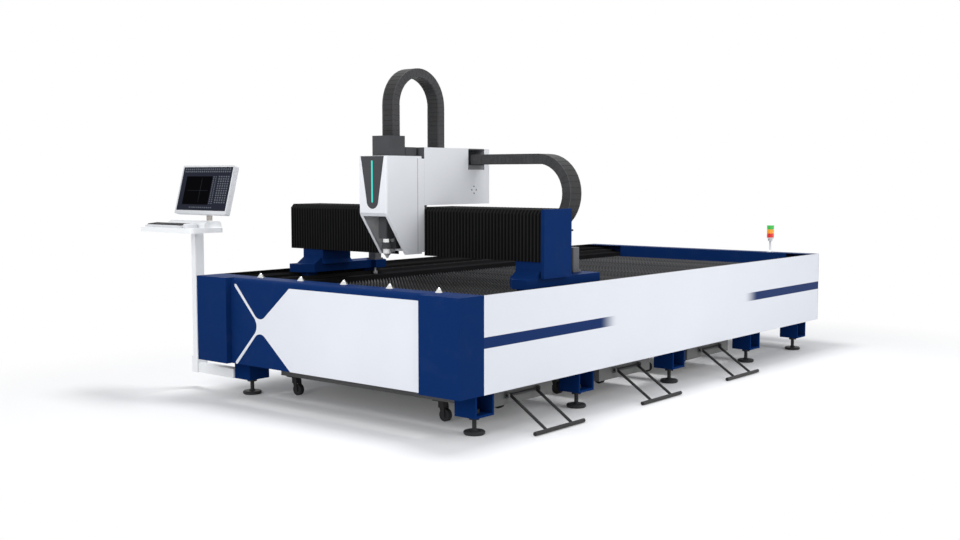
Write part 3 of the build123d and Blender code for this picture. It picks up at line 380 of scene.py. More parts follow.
# monitor picture: a plain layout of dark panes and rows of small pads, with no words
# panes are left, right, low and high shares of the screen; pads add columns, rows and fill
screenLow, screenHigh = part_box("monitor_screen")
screenLook = {
    "drawing": (0.09, 0.62, 0.14, 0.79),
    "lines": [(0.41, 0.414, 0.2, 0.75), (0.15, 0.57, 0.46, 0.464)],
    "pads": [((0.03, 0.97, 0.86, 0.97), 22, 2, 0.62), ((0.74, 0.97, 0.16, 0.8), 5, 12, 0.6),
             ((0.635, 0.72, 0.14, 0.79), 2, 14, 0.5), ((0.25, 0.72, 0.04, 0.09), 12, 1, 0.55)],
    "back": (0.021, 0.024, 0.036, 1.0), "paper": (0.0016, 0.0016, 0.002, 1.0),
    "pad": (0.22, 0.24, 0.28, 1.0), "line": (0.06, 0.075, 0.09, 1.0), "lineShare": 0.5,
    "glass": (0.0015, 0.0015, 0.002, 1.0), "gloss": 0.22, "flickerRough": 0.05, "shine": 0.0,
}


def screenFinish(name):
    glass = Finish(name)
    x, z = glass.axes()[::2]
    across = (x - screenLow.x) * (1 / (screenHigh.x - screenLow.x))
    rise = (z - screenLow.z) * (1 / (screenHigh.z - screenLow.z))

    def pane(left, right, low, high):
        wide = (across > left) * (across < right)
        return wide * (rise > low) * (rise < high)

    def padRows(area, columns, rows, fill):
        left, right, low, high = area
        column = ((across - left) * (columns / (right - left))) % 1.0
        row = ((rise - low) * (rows / (high - low))) % 1.0
        return pane(*area) * (column < fill) * (row > 1 - fill)

    drawing = pane(*screenLook["drawing"])
    lines = sum(pane(*line) for line in screenLook["lines"]) * drawing
    flicker = glass.pattern("flicker")
    lit = sum(padRows(*rows) for rows in screenLook["pads"]) * flicker
    shade = glass.mix(drawing, screenLook["back"], screenLook["paper"])
    shade = glass.mix(lit, shade, screenLook["pad"])
    return glass.wear({
        "Base Color": screenLook["glass"],
        "Roughness": screenLook["gloss"] + screenLook["flickerRough"] * flicker,
        "Specular IOR Level": screenLook["shine"],
        "Emission Color": glass.mix(lines * screenLook["lineShare"], shade, screenLook["line"]),
        "Emission Strength": 1.0,
    })


# light strip: bright core that falls off to its rim
glowLook = {"core": (0.001, 0.007), "body": (0.02, 0.3, 0.26, 1.0), "rim": (0.004, 0.24, 0.2, 1.0),
            "middle": (0.035, 0.66, 0.56, 1.0), "gloss": 0.25, "power": 0.85}


def glowFinish(name):
    glow = Finish(name)
    core = 1 - glow.step(abs(glow.axes()[0] - bedMiddle), *glowLook["core"])
    return glow.wear({
        "Base Color": glowLook["body"],
        "Roughness": glowLook["gloss"],
        "Emission Color": glow.mix(core, glowLook["rim"], glowLook["middle"]),
        "Emission Strength": glowLook["power"],
    })


# two coats that meet at one height: the bed frame's feet and beams, a trolley's wheels and tray
frameLook = {"blur": 0.001, "lowTones": (0.93, 1.07), "highTones": (0.85, 1.15), "gloss": 0.5,
             "driftRough": 0.1, "peel": 0.12}


def frameFinish(name, below, above, level, shine):
    coat = Finish(name)
    drift = coat.pattern("drift")
    low = coat.tones(drift, below, *frameLook["lowTones"])
    high = coat.tones(drift, above, *frameLook["highTones"])
    upper = coat.step(coat.axes()[2], level - frameLook["blur"], level + frameLook["blur"])
    return coat.wear({
        "Base Color": coat.mix(upper, low, high),
        "Roughness": frameLook["gloss"] + frameLook["driftRough"] * drift,
        "Specular IOR Level": shine,
        "Normal": coat.bump(coat.pattern("sheetPeel"), frameLook["peel"], coatDepth),
    })


# chain box: white coat outside; the clamp and walls in the chain port are painted grey as painted
# shade, and the front face dark grey as painted shade
port = {"front": 1.265, "back": 1.429, "low": 1.4915, "top": 1.6265, "left": -0.10,
        "right": 0.1155, "wall": 0.002}
# inside: painted shade on the port walls and clamp; front: painted shade on the front face
boxLook = {"inside": (0.2, 0.203, 0.21), "front": (0.085, 0.087, 0.092), "tones": (0.95, 1.05),
           "skin": 0.001, "sideSkin": 0.0002, "frontSkin": 0.0005, "clampRoom": 0.003,
           "gloss": 0.36, "driftRough": 0.08, "peel": 0.1, "shine": 0.3}


def boxFinish(name, coat):
    box = Finish(name)
    x, y, z = box.axes()
    low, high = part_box("chain_box")
    skin, room = boxLook["skin"], boxLook["clampRoom"]
    # inner walls of the box, painted grey as painted shade in the port
    deep = (x > low.x + skin) * (x < high.x - boxLook["sideSkin"])
    deep = deep * (y > low.y + skin) * (y < high.y - skin)
    deep = deep * (z > low.z + skin) * (z < high.z - skin)
    shadedClamp = (x > bedMiddle) * (z > port["low"]) * (y > bedFront + port["front"] + room)
    shadedClamp = shadedClamp * (y < bedFront + port["back"] - room)
    drift = box.pattern("drift")
    outer = box.tones(drift, coat, *boxLook["tones"])
    # front face painted dark grey: painted shade above the head cover
    outer = box.mix(y < low.y + boxLook["frontSkin"], outer, tint(boxLook["front"], 1.0))
    return box.wear({
        "Base Color": box.mix(deep + shadedClamp, outer, tint(boxLook["inside"], 1.0)),
        "Roughness": boxLook["gloss"] + boxLook["driftRough"] * drift,
        "Specular IOR Level": boxLook["shine"],
        "Normal": box.bump(box.pattern("peel"), boxLook["peel"], coatDepth),
    })


deepBlue = (0.0042, 0.0245, 0.112)
coolWhite = (0.72, 0.74, 0.79)
coverWhite = (0.83, 0.845, 0.875)

paints = {
    "blueCoat": {"colour": deepBlue, "gloss": 0.38, "peel": 0.12, "dust": 0.05, "shine": 0.012},
    "whiteCoat": {"colour": coolWhite, "gloss": 0.36, "peel": 0.1, "dust": 0.03},
    "coverCoat": {"colour": coverWhite, "gloss": 0.36, "peel": 0.1, "dust": 0.03},
    "consoleCoat": {"colour": (0.87, 0.88, 0.89), "gloss": 0.4, "peel": 0.1, "dust": 0.03},
    "blackCoat": {"colour": (0.011, 0.011, 0.0115), "gloss": 0.5, "peel": 0.2, "dust": 0.06,
                  "shine": 0.0},
    "handleCoat": {"colour": (0.017, 0.017, 0.018), "gloss": 0.36, "peel": 0.2, "dust": 0.06,
                   "shine": 0.25},
    "footCoat": {"colour": (0.03, 0.031, 0.033), "gloss": 0.42, "peel": 0.2, "dust": 0.08,
                 "shine": 0.15},
    "motorCoat": {"colour": (0.11, 0.113, 0.12), "gloss": 0.42, "peel": 0.15, "dust": 0.08},
    "trayCoat": {"colour": (0.3, 0.31, 0.33), "gloss": 0.45, "peel": 0.15, "dust": 0.08},
    "inlayCoat": {"colour": (0.062, 0.064, 0.068), "gloss": 0.44, "peel": 0.25, "dust": 0.05,
                  "shine": 0.12},
    "linerCoat": {"colour": (0.8, 0.805, 0.815), "gloss": 0.5, "peel": 0.2, "dust": 0.06,
                  "shine": 0.2},
    "standCoat": {"colour": (0.5, 0.46, 0.42), "gloss": 0.42, "peel": 0.15, "dust": 0.05},
    "darkRail": {"colour": (0.02, 0.02, 0.021), "gloss": 0.6, "peel": 0.2, "dust": 0.06,
                 "shine": 0.0},
}
metals = {
    "groundSteel": {"colour": (0.5, 0.5, 0.51), "gloss": 0.26, "grain": (420.0, 5.0, 420.0)},
    "beamSteel": {"colour": (0.5, 0.5, 0.51), "gloss": 0.26, "grain": (5.0, 420.0, 420.0)},
    "brightSteel": {"colour": (0.78, 0.785, 0.79), "gloss": 0.12, "grain": (90.0, 90.0, 700.0),
                    "stain": 0.06},
    "nozzleSteel": {"colour": (0.82, 0.82, 0.825), "gloss": 0.16, "grain": (90.0, 90.0, 700.0),
                    "stain": 0.06, "bare": 0.4},
    "plateAlloy": {"colour": (0.5, 0.51, 0.53), "gloss": 0.36, "grain": (300.0, 300.0, 8.0),
                   "stain": 0.1},
}
plastics = {
    "keyPlastic": {"colour": (0.02, 0.02, 0.022), "gloss": 0.5, "grit": 0.35},
    "shellPlastic": {"colour": (0.7, 0.71, 0.73), "gloss": 0.42, "grit": 0.2},
}
lenses = {
    "greenLens": {"colour": (0.03, 0.5, 0.06)},
    "amberLens": {"colour": (0.95, 0.36, 0.015)},
    "redLens": {"colour": (0.75, 0.02, 0.012)},
}
frameCoats = {
    "frameCoat": {"below": deepBlue, "above": (0.014, 0.014, 0.015), "level": 0.255, "shine": 0.0},
    # trolleys: dark below the tray's level, grey above; both darker than the trolley's own colours
    # as painted shade under the machine
    "trolleyCoat": {"below": (0.024, 0.024, 0.026), "above": (0.13, 0.13, 0.128), "level": 0.129,
                    "shine": 0.2},
}
finishes = {
    "boxCoat": boxFinish("boxCoat", coverWhite),
    "sidePanel": bandFinish("sidePanel", coolWhite, deepBlue),
    "cuttingSlat": slatFinish("cuttingSlat"),
    "bellowsCloth": bellowsFinish("bellowsCloth"),
    "chainPlastic": chainFinish("chainPlastic"),
    "screenPicture": screenFinish("screenPicture"),
    "tealGlow": glowFinish("tealGlow"),
}
for make, looks in ((paintFinish, paints), (metalFinish, metals), (plasticFinish, plastics),
                    (lensFinish, lenses), (frameFinish, frameCoats)):
    for name, look in looks.items():
        finishes[name] = make(name, **look)
print("finishes made:", len(finishes))

# finish of every CAD node
nodeFinish = {
    "frameCoat": ["bed_frame"],
    "boxCoat": ["chain_box"],
    "blueCoat": ["corner_covers", "front_cover", "rear_cover", "gantry_beam", "right_pedestal",
                 "left_pedestal"],
    "whiteCoat": ["front_field"],
    "coverCoat": ["saddle", "head_cover"],
    "consoleCoat": ["console_post", "keyboard_tray", "tray_hood", "beacon_stem"],
    "sidePanel": ["right_side_panel", "left_side_panel"],
    "blackCoat": ["rail_covers", "x_motor", "left_trough"],
    "handleCoat": ["handle_1", "handle_2", "handle_3"],
    "darkRail": ["y_rails"],
    "footCoat": ["foot_screws", "foot_pads"],
    "trolleyCoat": ["trolley_1", "trolley_2", "trolley_3"],
    "motorCoat": ["y_motors"],
    "trayCoat": ["chain_tray"],
    "inlayCoat": ["cover_inlay", "z_motor", "fibre_box", "head_body"],
    "standCoat": ["monitor_stand"],
    "groundSteel": ["left_pinion", "right_pinion", "x_pinion", "z_rails", "z_screw"],
    "beamSteel": ["x_rails"],
    "brightSteel": ["ball_transfers", "head_ring"],
    "nozzleSteel": ["nozzle"],
    "plateAlloy": ["z_plate"],
    "cuttingSlat": ["slat_combs", "slats"],
    "bellowsCloth": ["bellows_left", "bellows_right"],
    "chainPlastic": ["x_chain_upper", "x_chain_bend", "z_chain"],
    "shellPlastic": ["monitor_housing", "keyboard_and_mouse"],
    "screenPicture": ["monitor_screen"],
    "greenLens": ["beacon_green"],
    "amberLens": ["beacon_amber"],
    "redLens": ["beacon_red"],
    "tealGlow": ["light_strip"],
}
for finish, nodes in nodeFinish.items():
    for node in nodes:
        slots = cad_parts[node].data.materials
        slots.clear()
        slots.append(finishes[finish])
print("nodes dressed:", sum(len(nodes) for nodes in nodeFinish.values()))

# mesh helpers
weldGap = 0.00002
edgeProfile = 0.6
quarterTurn = math.radians(90.0)


def newPiece(name, mesh, finish=None):
    piece = bpy.data.objects.new(name, mesh)
    bpy.context.scene.collection.objects.link(piece)
    if finish:
        mesh.materials.clear()
        mesh.materials.append(finishes[finish])
    return piece


def closeShape(shape, name):
    mesh = bpy.data.meshes.new(name)
    shape.to_mesh(mesh)
    shape.free()
    return mesh


def meshFrom(name, build):
    shape = bmesh.new()
    build(shape)
    bmesh.ops.recalc_face_normals(shape, faces=shape.faces)
    return closeShape(shape, name)


def copyNode(node, name):
    shape = bmesh.new()
    shape.from_mesh(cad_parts[node].data)
    bmesh.ops.remove_doubles(shape, verts=shape.verts, dist=weldGap)
    return closeShape(shape, name)


def addBlock(shape, low, high, edge=0.0, segments=2):
    middle = (Vector(low) + Vector(high)) / 2
    size = Vector(high) - Vector(low)
    stand = Matrix.Translation(middle) @ Matrix.Diagonal((*size, 1.0))
    made = bmesh.ops.create_cube(shape, size=1.0, matrix=stand)
    if edge:
        rims = {rim for corner in made["verts"] for rim in corner.link_edges}
        bmesh.ops.bevel(shape, geom=list(rims), offset=edge, segments=segments,
                        profile=edgeProfile, affect="EDGES")


# a rod around its middle, upright or turned a quarter about x or y
def addRod(shape, middle, depth, radii, segments, about=None):
    stand = Matrix.Translation(middle)
    if about:
        stand = stand @ Matrix.Rotation(quarterTurn, 4, about)
    bmesh.ops.create_cone(shape, cap_ends=True, segments=segments, radius1=radii[0],
                          radius2=radii[1], depth=depth, matrix=stand)


# geometry node helpers: named inputs, realised at the end, then a plain mesh
def newTree(name, sizes):
    tree = bpy.data.node_groups.new(name, "GeometryNodeTree")
    tree.interface.new_socket("Geometry", in_out="INPUT", socket_type="NodeSocketGeometry")
    for label, kind in sizes.items():
        tree.interface.new_socket(label, in_out="INPUT", socket_type="NodeSocket" + kind)
    tree.interface.new_socket("Geometry", in_out="OUTPUT", socket_type="NodeSocketGeometry")
    book = NodeBook(tree)
    labels = ("Geometry", *sizes)
    return book, dict(zip(labels, book.node("NodeGroupInput", {}, {}, labels)))


def closeTree(book, points, copied, finish):
    spots = {"Points": points, **copied}
    copies = book.node("GeometryNodeInstanceOnPoints", {}, spots)
    real = book.node("GeometryNodeRealizeInstances", {}, {0: copies})
    coated = book.node("GeometryNodeSetMaterial", {}, {"Geometry": real, "Material": finish})
    book.feed(book.tree.nodes.new("NodeGroupOutput"), {0: coated})
    return book.tree


def runTree(piece, tree, values):
    step = piece.modifiers.new(tree.name, "NODES")
    step.node_group = tree
    for item in tree.interface.items_tree:
        if item.in_out == "INPUT" and item.name in values:
            step[item.identifier] = values[item.name]
    bpy.context.view_layer.update()
    evaluated = piece.evaluated_get(bpy.context.evaluated_depsgraph_get())
    mesh = bpy.data.meshes.new_from_object(evaluated)
    piece.modifiers.remove(step)
    piece.data = mesh
    return piece


# a row of copies of the piece's own mesh
def rowTree():
    sizes = {"Count": "Int", "Offset": "Vector", "Finish": "Material"}
    book, given = newTree("rowOfCopies", sizes)
    spread = {"Count": given["Count"], "Offset": given["Offset"]}
    points = book.node("GeometryNodeMeshLine", {}, spread)
    return closeTree(book, points, {"Instance": given["Geometry"]}, given["Finish"])


# a field of copies of the piece's own mesh
def fieldTree():
    sizes = {"Columns": "Int", "Rows": "Int", "Width": "Float", "Depth": "Float",
             "Finish": "Material"}
    book, given = newTree("fieldOfCopies", sizes)
    spread = {"Size X": given["Width"], "Size Y": given["Depth"],
              "Vertices X": given["Columns"], "Vertices Y": given["Rows"]}
    points = book.node("GeometryNodeMeshGrid", {}, spread, "Mesh")
    return closeTree(book, points, {"Instance": given["Geometry"]}, given["Finish"])


# links set along the piece's own line of edges
def linkTree(name, along, pivot):
    book, given = newTree(name, {"Links": "Int", "Link": "Object", "Finish": "Material"})
    line = book.node("GeometryNodeMeshToCurve", {}, {"Mesh": given["Geometry"]})
    points = book.node("GeometryNodeMeshLine", {}, {"Count": given["Links"]})
    share = book.node("GeometryNodeInputIndex", {}, {}) / (given["Links"] - 1)
    spots = {"Curves": line, "Factor": share}
    spot, heading = book.node("GeometryNodeSampleCurve", {}, spots, ("Position", "Tangent"))
    moved = {"Geometry": points, "Position": spot}
    placed = book.node("GeometryNodeSetPosition", {}, moved)
    turning = {"axis": along, "pivot_axis": pivot}
    turn = book.node("FunctionNodeAlignRotationToVector", turning, {"Vector": heading})
    link = book.node("GeometryNodeObjectInfo", {}, {"Object": given["Link"]}, "Geometry")
    return closeTree(book, placed, {"Instance": link, "Rotation": turn}, given["Finish"])


copiesInRow = rowTree()

# cutting slats: fine pointed blades close together, spread evenly over the bed
slatBed = {"tooth": 0.0302, "depth": 0.021, "pitch": 0.03, "thick": 0.0025}


def buildBlade(shape):
    teeth = round((slatHigh.x - slatLow.x) / slatBed["tooth"])
    width = (slatHigh.x - slatLow.x) / teeth
    valley = slatHigh.z - slatBed["depth"]
    edges = [slatLow.x + k * width for k in range(teeth + 1)]
    sides = []
    for y in (slatLow.y, slatLow.y + slatBed["thick"]):
        feet = [shape.verts.new((x, y, slatLow.z)) for x in edges]
        dips = [shape.verts.new((x, y, valley)) for x in edges]
        tips = [shape.verts.new((x + width / 2, y, slatHigh.z)) for x in edges[:-1]]
        sides.append((feet, dips, tips))
    for feet, dips, tips in sides:
        for k in range(teeth):
            shape.faces.new((feet[k], feet[k + 1], dips[k + 1], tips[k], dips[k]))
    (feetA, dipsA, tipsA), (feetB, dipsB, tipsB) = sides
    for k in range(teeth):
        shape.faces.new((dipsA[k], tipsA[k], tipsB[k], dipsB[k]))
        shape.faces.new((tipsA[k], dipsA[k + 1], dipsB[k + 1], tipsB[k]))
        shape.faces.new((feetA[k + 1], feetA[k], feetB[k], feetB[k + 1]))
    shape.faces.new((feetA[0], dipsA[0], dipsB[0], feetB[0]))
    shape.faces.new((dipsA[-1], feetA[-1], feetB[-1], dipsB[-1]))


slats = newPiece("cuttingSlats", meshFrom("cuttingSlats", buildBlade))
slatRoom = slatHigh.y - slatLow.y - slatBed["thick"]
slatCount = round(slatRoom / slatBed["pitch"]) + 1
slatStep = slatRoom / (slatCount - 1)
runTree(slats, copiesInRow, {"Count": slatCount, "Offset": (0.0, slatStep, 0.0),
                             "Finish": finishes["cuttingSlat"]})
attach(slats, "bed")
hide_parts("slats")
print("slats:", slatCount)

# bellows: copies of the folded covers between the gantry's ends and the carriage
beamLow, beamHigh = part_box("gantry_beam")
folds = {"ridgeBand": 0.002, "level": 1.1}
for side, fixedEnd, movingEnd in (("left", beamLow.x, coverLow.x),
                                  ("right", beamHigh.x, coverHigh.x)):
    mesh = copyNode("bellows_" + side, side + "Bellows")
    bellows = newPiece(side + "Bellows", mesh, "bellowsCloth")
    foldLow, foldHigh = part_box("bellows_" + side)
    front, top = foldLow.y + folds["ridgeBand"], foldHigh.z - folds["ridgeBand"]
    # front and top faces of the folds marked as ridges, for the painted highlight in the finish
    ridges = mesh.attributes.new("ridge", "FLOAT", "POINT")
    for mark, corner in zip(ridges.data, mesh.vertices):
        mark.value = float(corner.co.y < front or corner.co.z > top)
    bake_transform(bellows)
    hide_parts("bellows_" + side)

# drag chains: moulded links set along each chain's own line
crossChain = {"radius": 0.221, "level": 1.338, "bend": 0.684, "start": 0.12, "lower": 0.75,
              "middle": 1.347, "width": 0.124, "thick": 0.066, "pitch": 0.034}
liftChain = {"radius": 0.213, "level": 1.896, "front": 0.647, "frontLow": 1.702, "backLow": 1.632,
             "width": 0.1, "thick": 0.058, "pitch": 0.03, "blendInset": 0.03, "blendLevel": 1.9}
linkShape = {"cheek": 0.012, "core": 0.0025, "lid": 0.0045, "edge": 0.001, "cheekShare": 0.99,
             "lidShare": 0.96, "bendShare": 0.974, "bendSteps": 240}


# one link: two cheeks, two lids and a core, opened out on the outer side of a bend
def buildLink(length, chain, fan, turned):
    def build(shape):
        half, wide, deep = length / 2, chain["width"] / 2, chain["thick"] / 2
        deep *= linkShape["bendShare"] if fan else 1.0
        core, cheek, edge = linkShape["core"], linkShape["cheek"], linkShape["edge"]
        addBlock(shape, (-half, core - wide, core - deep), (half, wide - core, deep - core))
        reach = half * linkShape["cheekShare"]
        for low, high in ((-wide, cheek - wide), (wide - cheek, wide)):
            addBlock(shape, (-reach, low, -deep), (reach, high, deep), edge, 1)
        reach = half * linkShape["lidShare"]
        inner, lid = wide - cheek, linkShape["lid"]
        for low, high in ((-deep, lid - deep), (deep - lid, deep)):
            addBlock(shape, (-reach, -inner, low), (reach, inner, high), edge, 1)
        for corner in shape.verts:
            corner.co.x *= 1 + fan * corner.co.z / deep
        if turned:
            spin = Matrix.Rotation(quarterTurn, 3, "Z")
            bmesh.ops.rotate(shape, verts=shape.verts, matrix=spin)
    return build


# the same line, shorter by half a link at each end
def trimLine(points, inset):
    points = list(points)
    for end in range(2):
        spare = inset
        while (points[1] - points[0]).length < spare:
            spare -= (points[1] - points[0]).length
            points.pop(0)
        points[0] = points[0].lerp(points[1], spare / (points[1] - points[0]).length)
        points.reverse()
    return points


# one stretch of chain, straight or bent, as a plain mesh of links
def stretchMesh(name, points, chain, along, pivot, fan):
    length = sum((b - a).length for a, b in zip(points, points[1:]))
    count = max(2, round(length / chain["pitch"]))
    pitch = length / count
    linkMesh = meshFrom(name + "Link", buildLink(pitch, chain, fan, along == "Y"))
    link = newPiece(name + "Link", linkMesh)
    points = trimLine(points, pitch / 2)
    line = bpy.data.meshes.new(name)
    line.from_pydata(points, [(k, k + 1) for k in range(len(points) - 1)], [])
    stretch = newPiece(name, line)
    values = {"Links": count, "Link": link, "Finish": finishes["chainPlastic"]}
    mesh = runTree(stretch, linkTree(name + "Links", along, pivot), values).data
    bpy.data.objects.remove(link)
    bpy.data.objects.remove(stretch)
    return mesh


# a whole chain, with its cheeks marked for the finish
def makeChain(name, stretches, chain, along, pivot, node):
    shape = bmesh.new()
    for k, (points, bent) in enumerate(stretches):
        fan = chain["thick"] / 2 / chain["radius"] if bent else 0.0
        shape.from_mesh(stretchMesh(name + str(k), points, chain, along, pivot, fan))
    mesh = closeShape(shape, name)
    across = 1 if along == "X" else 0
    middle = sum(corner.co[across] for corner in mesh.vertices) / len(mesh.vertices)
    reach = chain["width"] / 2 - linkShape["cheek"]
    cheeks = mesh.attributes.new("cheek", "FLOAT", "FACE")
    for mark, face in zip(cheeks.data, mesh.polygons):
        mark.value = float(abs(face.center[across] - middle) > reach)
    chainPiece = newPiece(name, mesh, "chainPlastic")
    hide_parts(node)
    return chainPiece


# points of a turn from one angle to another, in the plane of z and the outward direction
def turnPoints(centre, radius, first, last, outward):
    steps = linkShape["bendSteps"]
    angles = [math.radians(first + (last - first) * k / steps) for k in range(steps + 1)]
    return [centre + radius * math.cos(angle) * outward + Vector((0, 0, radius * math.sin(angle)))
            for angle in angles]


bendCentre = place(crossChain["bend"], crossChain["middle"], crossChain["level"])
bendTop = bendCentre + Vector((0, 0, crossChain["radius"]))
bendLow = bendCentre - Vector((0, 0, crossChain["radius"]))
upperStart = Vector((bedMiddle + crossChain["start"], bendTop.y, bendTop.z))
upperRun = ([upperStart, bendTop], False)
upperChain = makeChain("upperChain", [upperRun], crossChain, "X", "Y", "x_chain_upper")
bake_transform(upperChain)

lowerEnd = bendLow - Vector((crossChain["lower"], 0, 0))
bendTurn = turnPoints(bendCentre, crossChain["radius"], 90.0, -90.0, Vector((1, 0, 0)))
bendRuns = [(bendTurn, True), ([bendLow, lowerEnd], False)]
bendChain = makeChain("bendChain", bendRuns, crossChain, "X", "Y", "x_chain_bend")
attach(bendChain, "chain_loop")

archCentre = place(0, liftChain["front"] + liftChain["radius"], liftChain["level"])
archTurn = turnPoints(archCentre, liftChain["radius"], 180.0, 0.0, Vector((0, 1, 0)))
archBack = liftChain["front"] + 2 * liftChain["radius"]
frontLeg = [place(0, liftChain["front"], liftChain["frontLow"]), archTurn[0]]
backLeg = [archTurn[-1], place(0, archBack, liftChain["backLow"])]
archRuns = [(frontLeg, False), (archTurn, True), (backLeg, False)]
archChain = makeChain("archChain", archRuns, liftChain, "Y", "X", "z_chain")
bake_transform(archChain)
print("chains linked")

# keyboard: rows of keys on the sloping field
keyboard = {"x": -1.424, "y": -0.019, "front": 1.123, "slope": 0.08, "toMiddle": 0.05,
            "columns": 17, "rows": 5, "across": 0.0221, "down": 0.0158,
            "cap": (0.0192, 0.0132, 0.0055), "sunk": 0.001, "edge": 0.0018}


def buildKey(shape):
    wide, deep, tall = keyboard["cap"]
    addBlock(shape, (-wide / 2, -deep / 2, -keyboard["sunk"]), (wide / 2, deep / 2, tall),
             keyboard["edge"])


keys = newPiece("keyRows", meshFrom("keyRows", buildKey))
runTree(keys, fieldTree(), {"Columns": keyboard["columns"], "Rows": keyboard["rows"],
                            "Width": keyboard["across"] * (keyboard["columns"] - 1),
                            "Depth": keyboard["down"] * (keyboard["rows"] - 1),
                            "Finish": finishes["keyPlastic"]})
keyTop = keyboard["front"] + keyboard["slope"] * keyboard["toMiddle"]
keys.data.transform(Matrix.Translation(place(keyboard["x"], keyboard["y"], keyTop))
                    @ Matrix.Rotation(math.atan(keyboard["slope"]), 4, "X"))
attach(keys, "bed")
print("keys set")

# rail plugs: caps over the fixing screws along both bed rails
railPlug = {"x": 0.95, "start": 0.32, "pitch": 0.12, "count": 36, "seat": 0.757, "lift": 0.0001,
            "radii": (0.0055, 0.00495), "tall": 0.0004, "segments": 12}


def buildPlugs(shape):
    for side in (-1, 1):
        middle = place(side * railPlug["x"], railPlug["start"], railPlug["seat"] + railPlug["lift"])
        addRod(shape, middle, railPlug["tall"], railPlug["radii"], railPlug["segments"])


plugs = newPiece("railPlugs", meshFrom("railPlugs", buildPlugs))
runTree(plugs, copiesInRow, {"Count": railPlug["count"], "Offset": (0.0, railPlug["pitch"], 0.0),
                             "Finish": finishes["footCoat"]})
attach(plugs, "bed")

# head cover: pale liner on both walls behind the chin window, and a seam near its back edge
liner = {"half": 0.1155, "front": 0.4805, "top": 1.43, "low": 0.958, "chin": 1.2165, "back": 0.795,
         "chinBack": 0.6635, "thick": 0.0012}


def buildLiner(shape):
    outline = [(liner["front"], liner["top"]), (liner["front"], liner["chin"]),
               (liner["chinBack"], liner["low"]), (liner["back"], liner["low"]),
               (liner["back"], liner["top"])]
    for side in (-1, 1):
        faces = []
        for inset in (0.0, liner["thick"]):
            x = side * (liner["half"] - inset)
            faces.append([shape.verts.new(place(x, y, z)) for y, z in outline])
        outer, inner = faces
        shape.faces.new(outer)
        shape.faces.new(inner)
        for k in range(len(outline)):
            shape.faces.new((outer[k], outer[k - 1], inner[k - 1], inner[k]))


coverLiner = newPiece("coverLiner", meshFrom("coverLiner", buildLiner), "linerCoat")
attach(coverLiner, "carriage")

seam = {"half": 0.12, "y": 0.763, "width": 0.0022, "sunk": 0.002, "proud": 0.0004, "low": 0.963,
        "top": 1.56}


def buildSeam(shape):
    for side in (-1, 1):
        near, far = sorted((side * (seam["half"] - seam["sunk"]),
                            side * (seam["half"] + seam["proud"])))
        addBlock(shape, place(near, seam["y"] - seam["width"] / 2, seam["low"]),
                 place(far, seam["y"] + seam["width"] / 2, seam["top"]))


coverSeam = newPiece("coverSeam", meshFrom("coverSeam", buildSeam), "blackCoat")
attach(coverSeam, "carriage")


# chain port: grey pocket inside the chain box behind the side opening, a sheet that stands for the
# shade in the port
def buildPort(shape):
    low = place(port["left"], port["front"], port["low"])
    high = place(port["right"], port["back"], port["top"])
    wall = port["wall"]
    addBlock(shape, low, (low.x + wall, high.y, high.z))
    addBlock(shape, low, (high.x, low.y + wall, high.z))
    addBlock(shape, (low.x, high.y - wall, low.z), high)
    addBlock(shape, (low.x, low.y, high.z - wall), high)


chainPort = newPiece("chainPort", meshFrom("chainPort", buildPort), "trayCoat")
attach(chainPort, "carriage")

# cutting head: height sensor with two hose stubs beside the nozzle
sensor = {"at": (0.058, 0.625, 1.0), "low": (-0.024, -0.022, -0.01), "high": (0.02, 0.022, 0.034),
          "edge": 0.004, "stubs": ((-0.012, 0.062), (0.01, 0.05)), "stubX": 0.004,
          "stubFoot": 0.03, "stubRadii": (0.008, 0.0065), "stubSegments": 20}


def buildSensor(shape):
    spot = place(*sensor["at"])
    addBlock(shape, spot + Vector(sensor["low"]), spot + Vector(sensor["high"]), sensor["edge"])
    for y, tall in sensor["stubs"]:
        middle = spot + Vector((sensor["stubX"], y, sensor["stubFoot"] + tall / 2))
        addRod(shape, middle, tall, sensor["stubRadii"], sensor["stubSegments"])


headSensor = newPiece("headSensor", meshFrom("headSensor", buildSensor), "keyPlastic")
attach(headSensor, "head")
print("head trimmed")

# cap in the open left end of the gantry beam, with four flat screw heads
beamCap = {"wall": 0.01, "gap": 0.0004, "setBack": 0.0015, "thick": 0.004, "screwInset": 0.018,
           "screwRadii": (0.007, 0.007), "proud": 0.001, "segments": 16}


def buildCap(shape):
    rim = beamCap["wall"] + beamCap["gap"]
    face = beamLow.x + beamCap["setBack"]
    addBlock(shape, (face, beamLow.y + rim, beamLow.z + rim),
             (face + beamCap["thick"], beamHigh.y - rim, beamHigh.z - rim))
    inset = rim + beamCap["screwInset"]
    for y in (beamLow.y + inset, beamHigh.y - inset):
        for z in (beamLow.z + inset, beamHigh.z - inset):
            addRod(shape, (face, y, z), 2 * beamCap["proud"], beamCap["screwRadii"],
                   beamCap["segments"], "Y")


cap = newPiece("beamCap", meshFrom("beamCap", buildCap), "blueCoat")
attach(cap, "gantry")

# stop pin on the rear edge of the gantry's right end plate
stopPin = {"x": 1.062, "y": 1.098, "z": 1.119, "radii": (0.006, 0.006), "reach": 0.036,
           "segments": 16}


def buildPin(shape):
    middle = place(stopPin["x"], stopPin["y"] + stopPin["reach"] / 2, stopPin["z"])
    addRod(shape, middle, stopPin["reach"], stopPin["radii"], stopPin["segments"], "X")


pin = newPiece("stopPin", meshFrom("stopPin", buildPin), "blackCoat")
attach(pin, "gantry")

# floor, light and camera
stage = {"half": 40.0, "drop": 0.0005, "reach": (1.25, 2.4, 50.0), "fadeStart": 0.2, "fadeEnd": 2.0,
         "shade": 0.92, "floor": (0.86, 0.86, 0.865, 1.0), "floorRough": 0.75,
         "sky": (0.95, 0.97, 1.0, 1.0), "air": 0.62}
plainWhite = {"Color": (1.0, 1.0, 1.0, 1.0), "Strength": 1.0}


def buildFloor(shape):
    half = stage["half"]
    corners = [(-half, -half), (half, -half), (half, half), (-half, half)]
    shape.faces.new([shape.verts.new((x, y, -stage["drop"])) for x, y in corners])


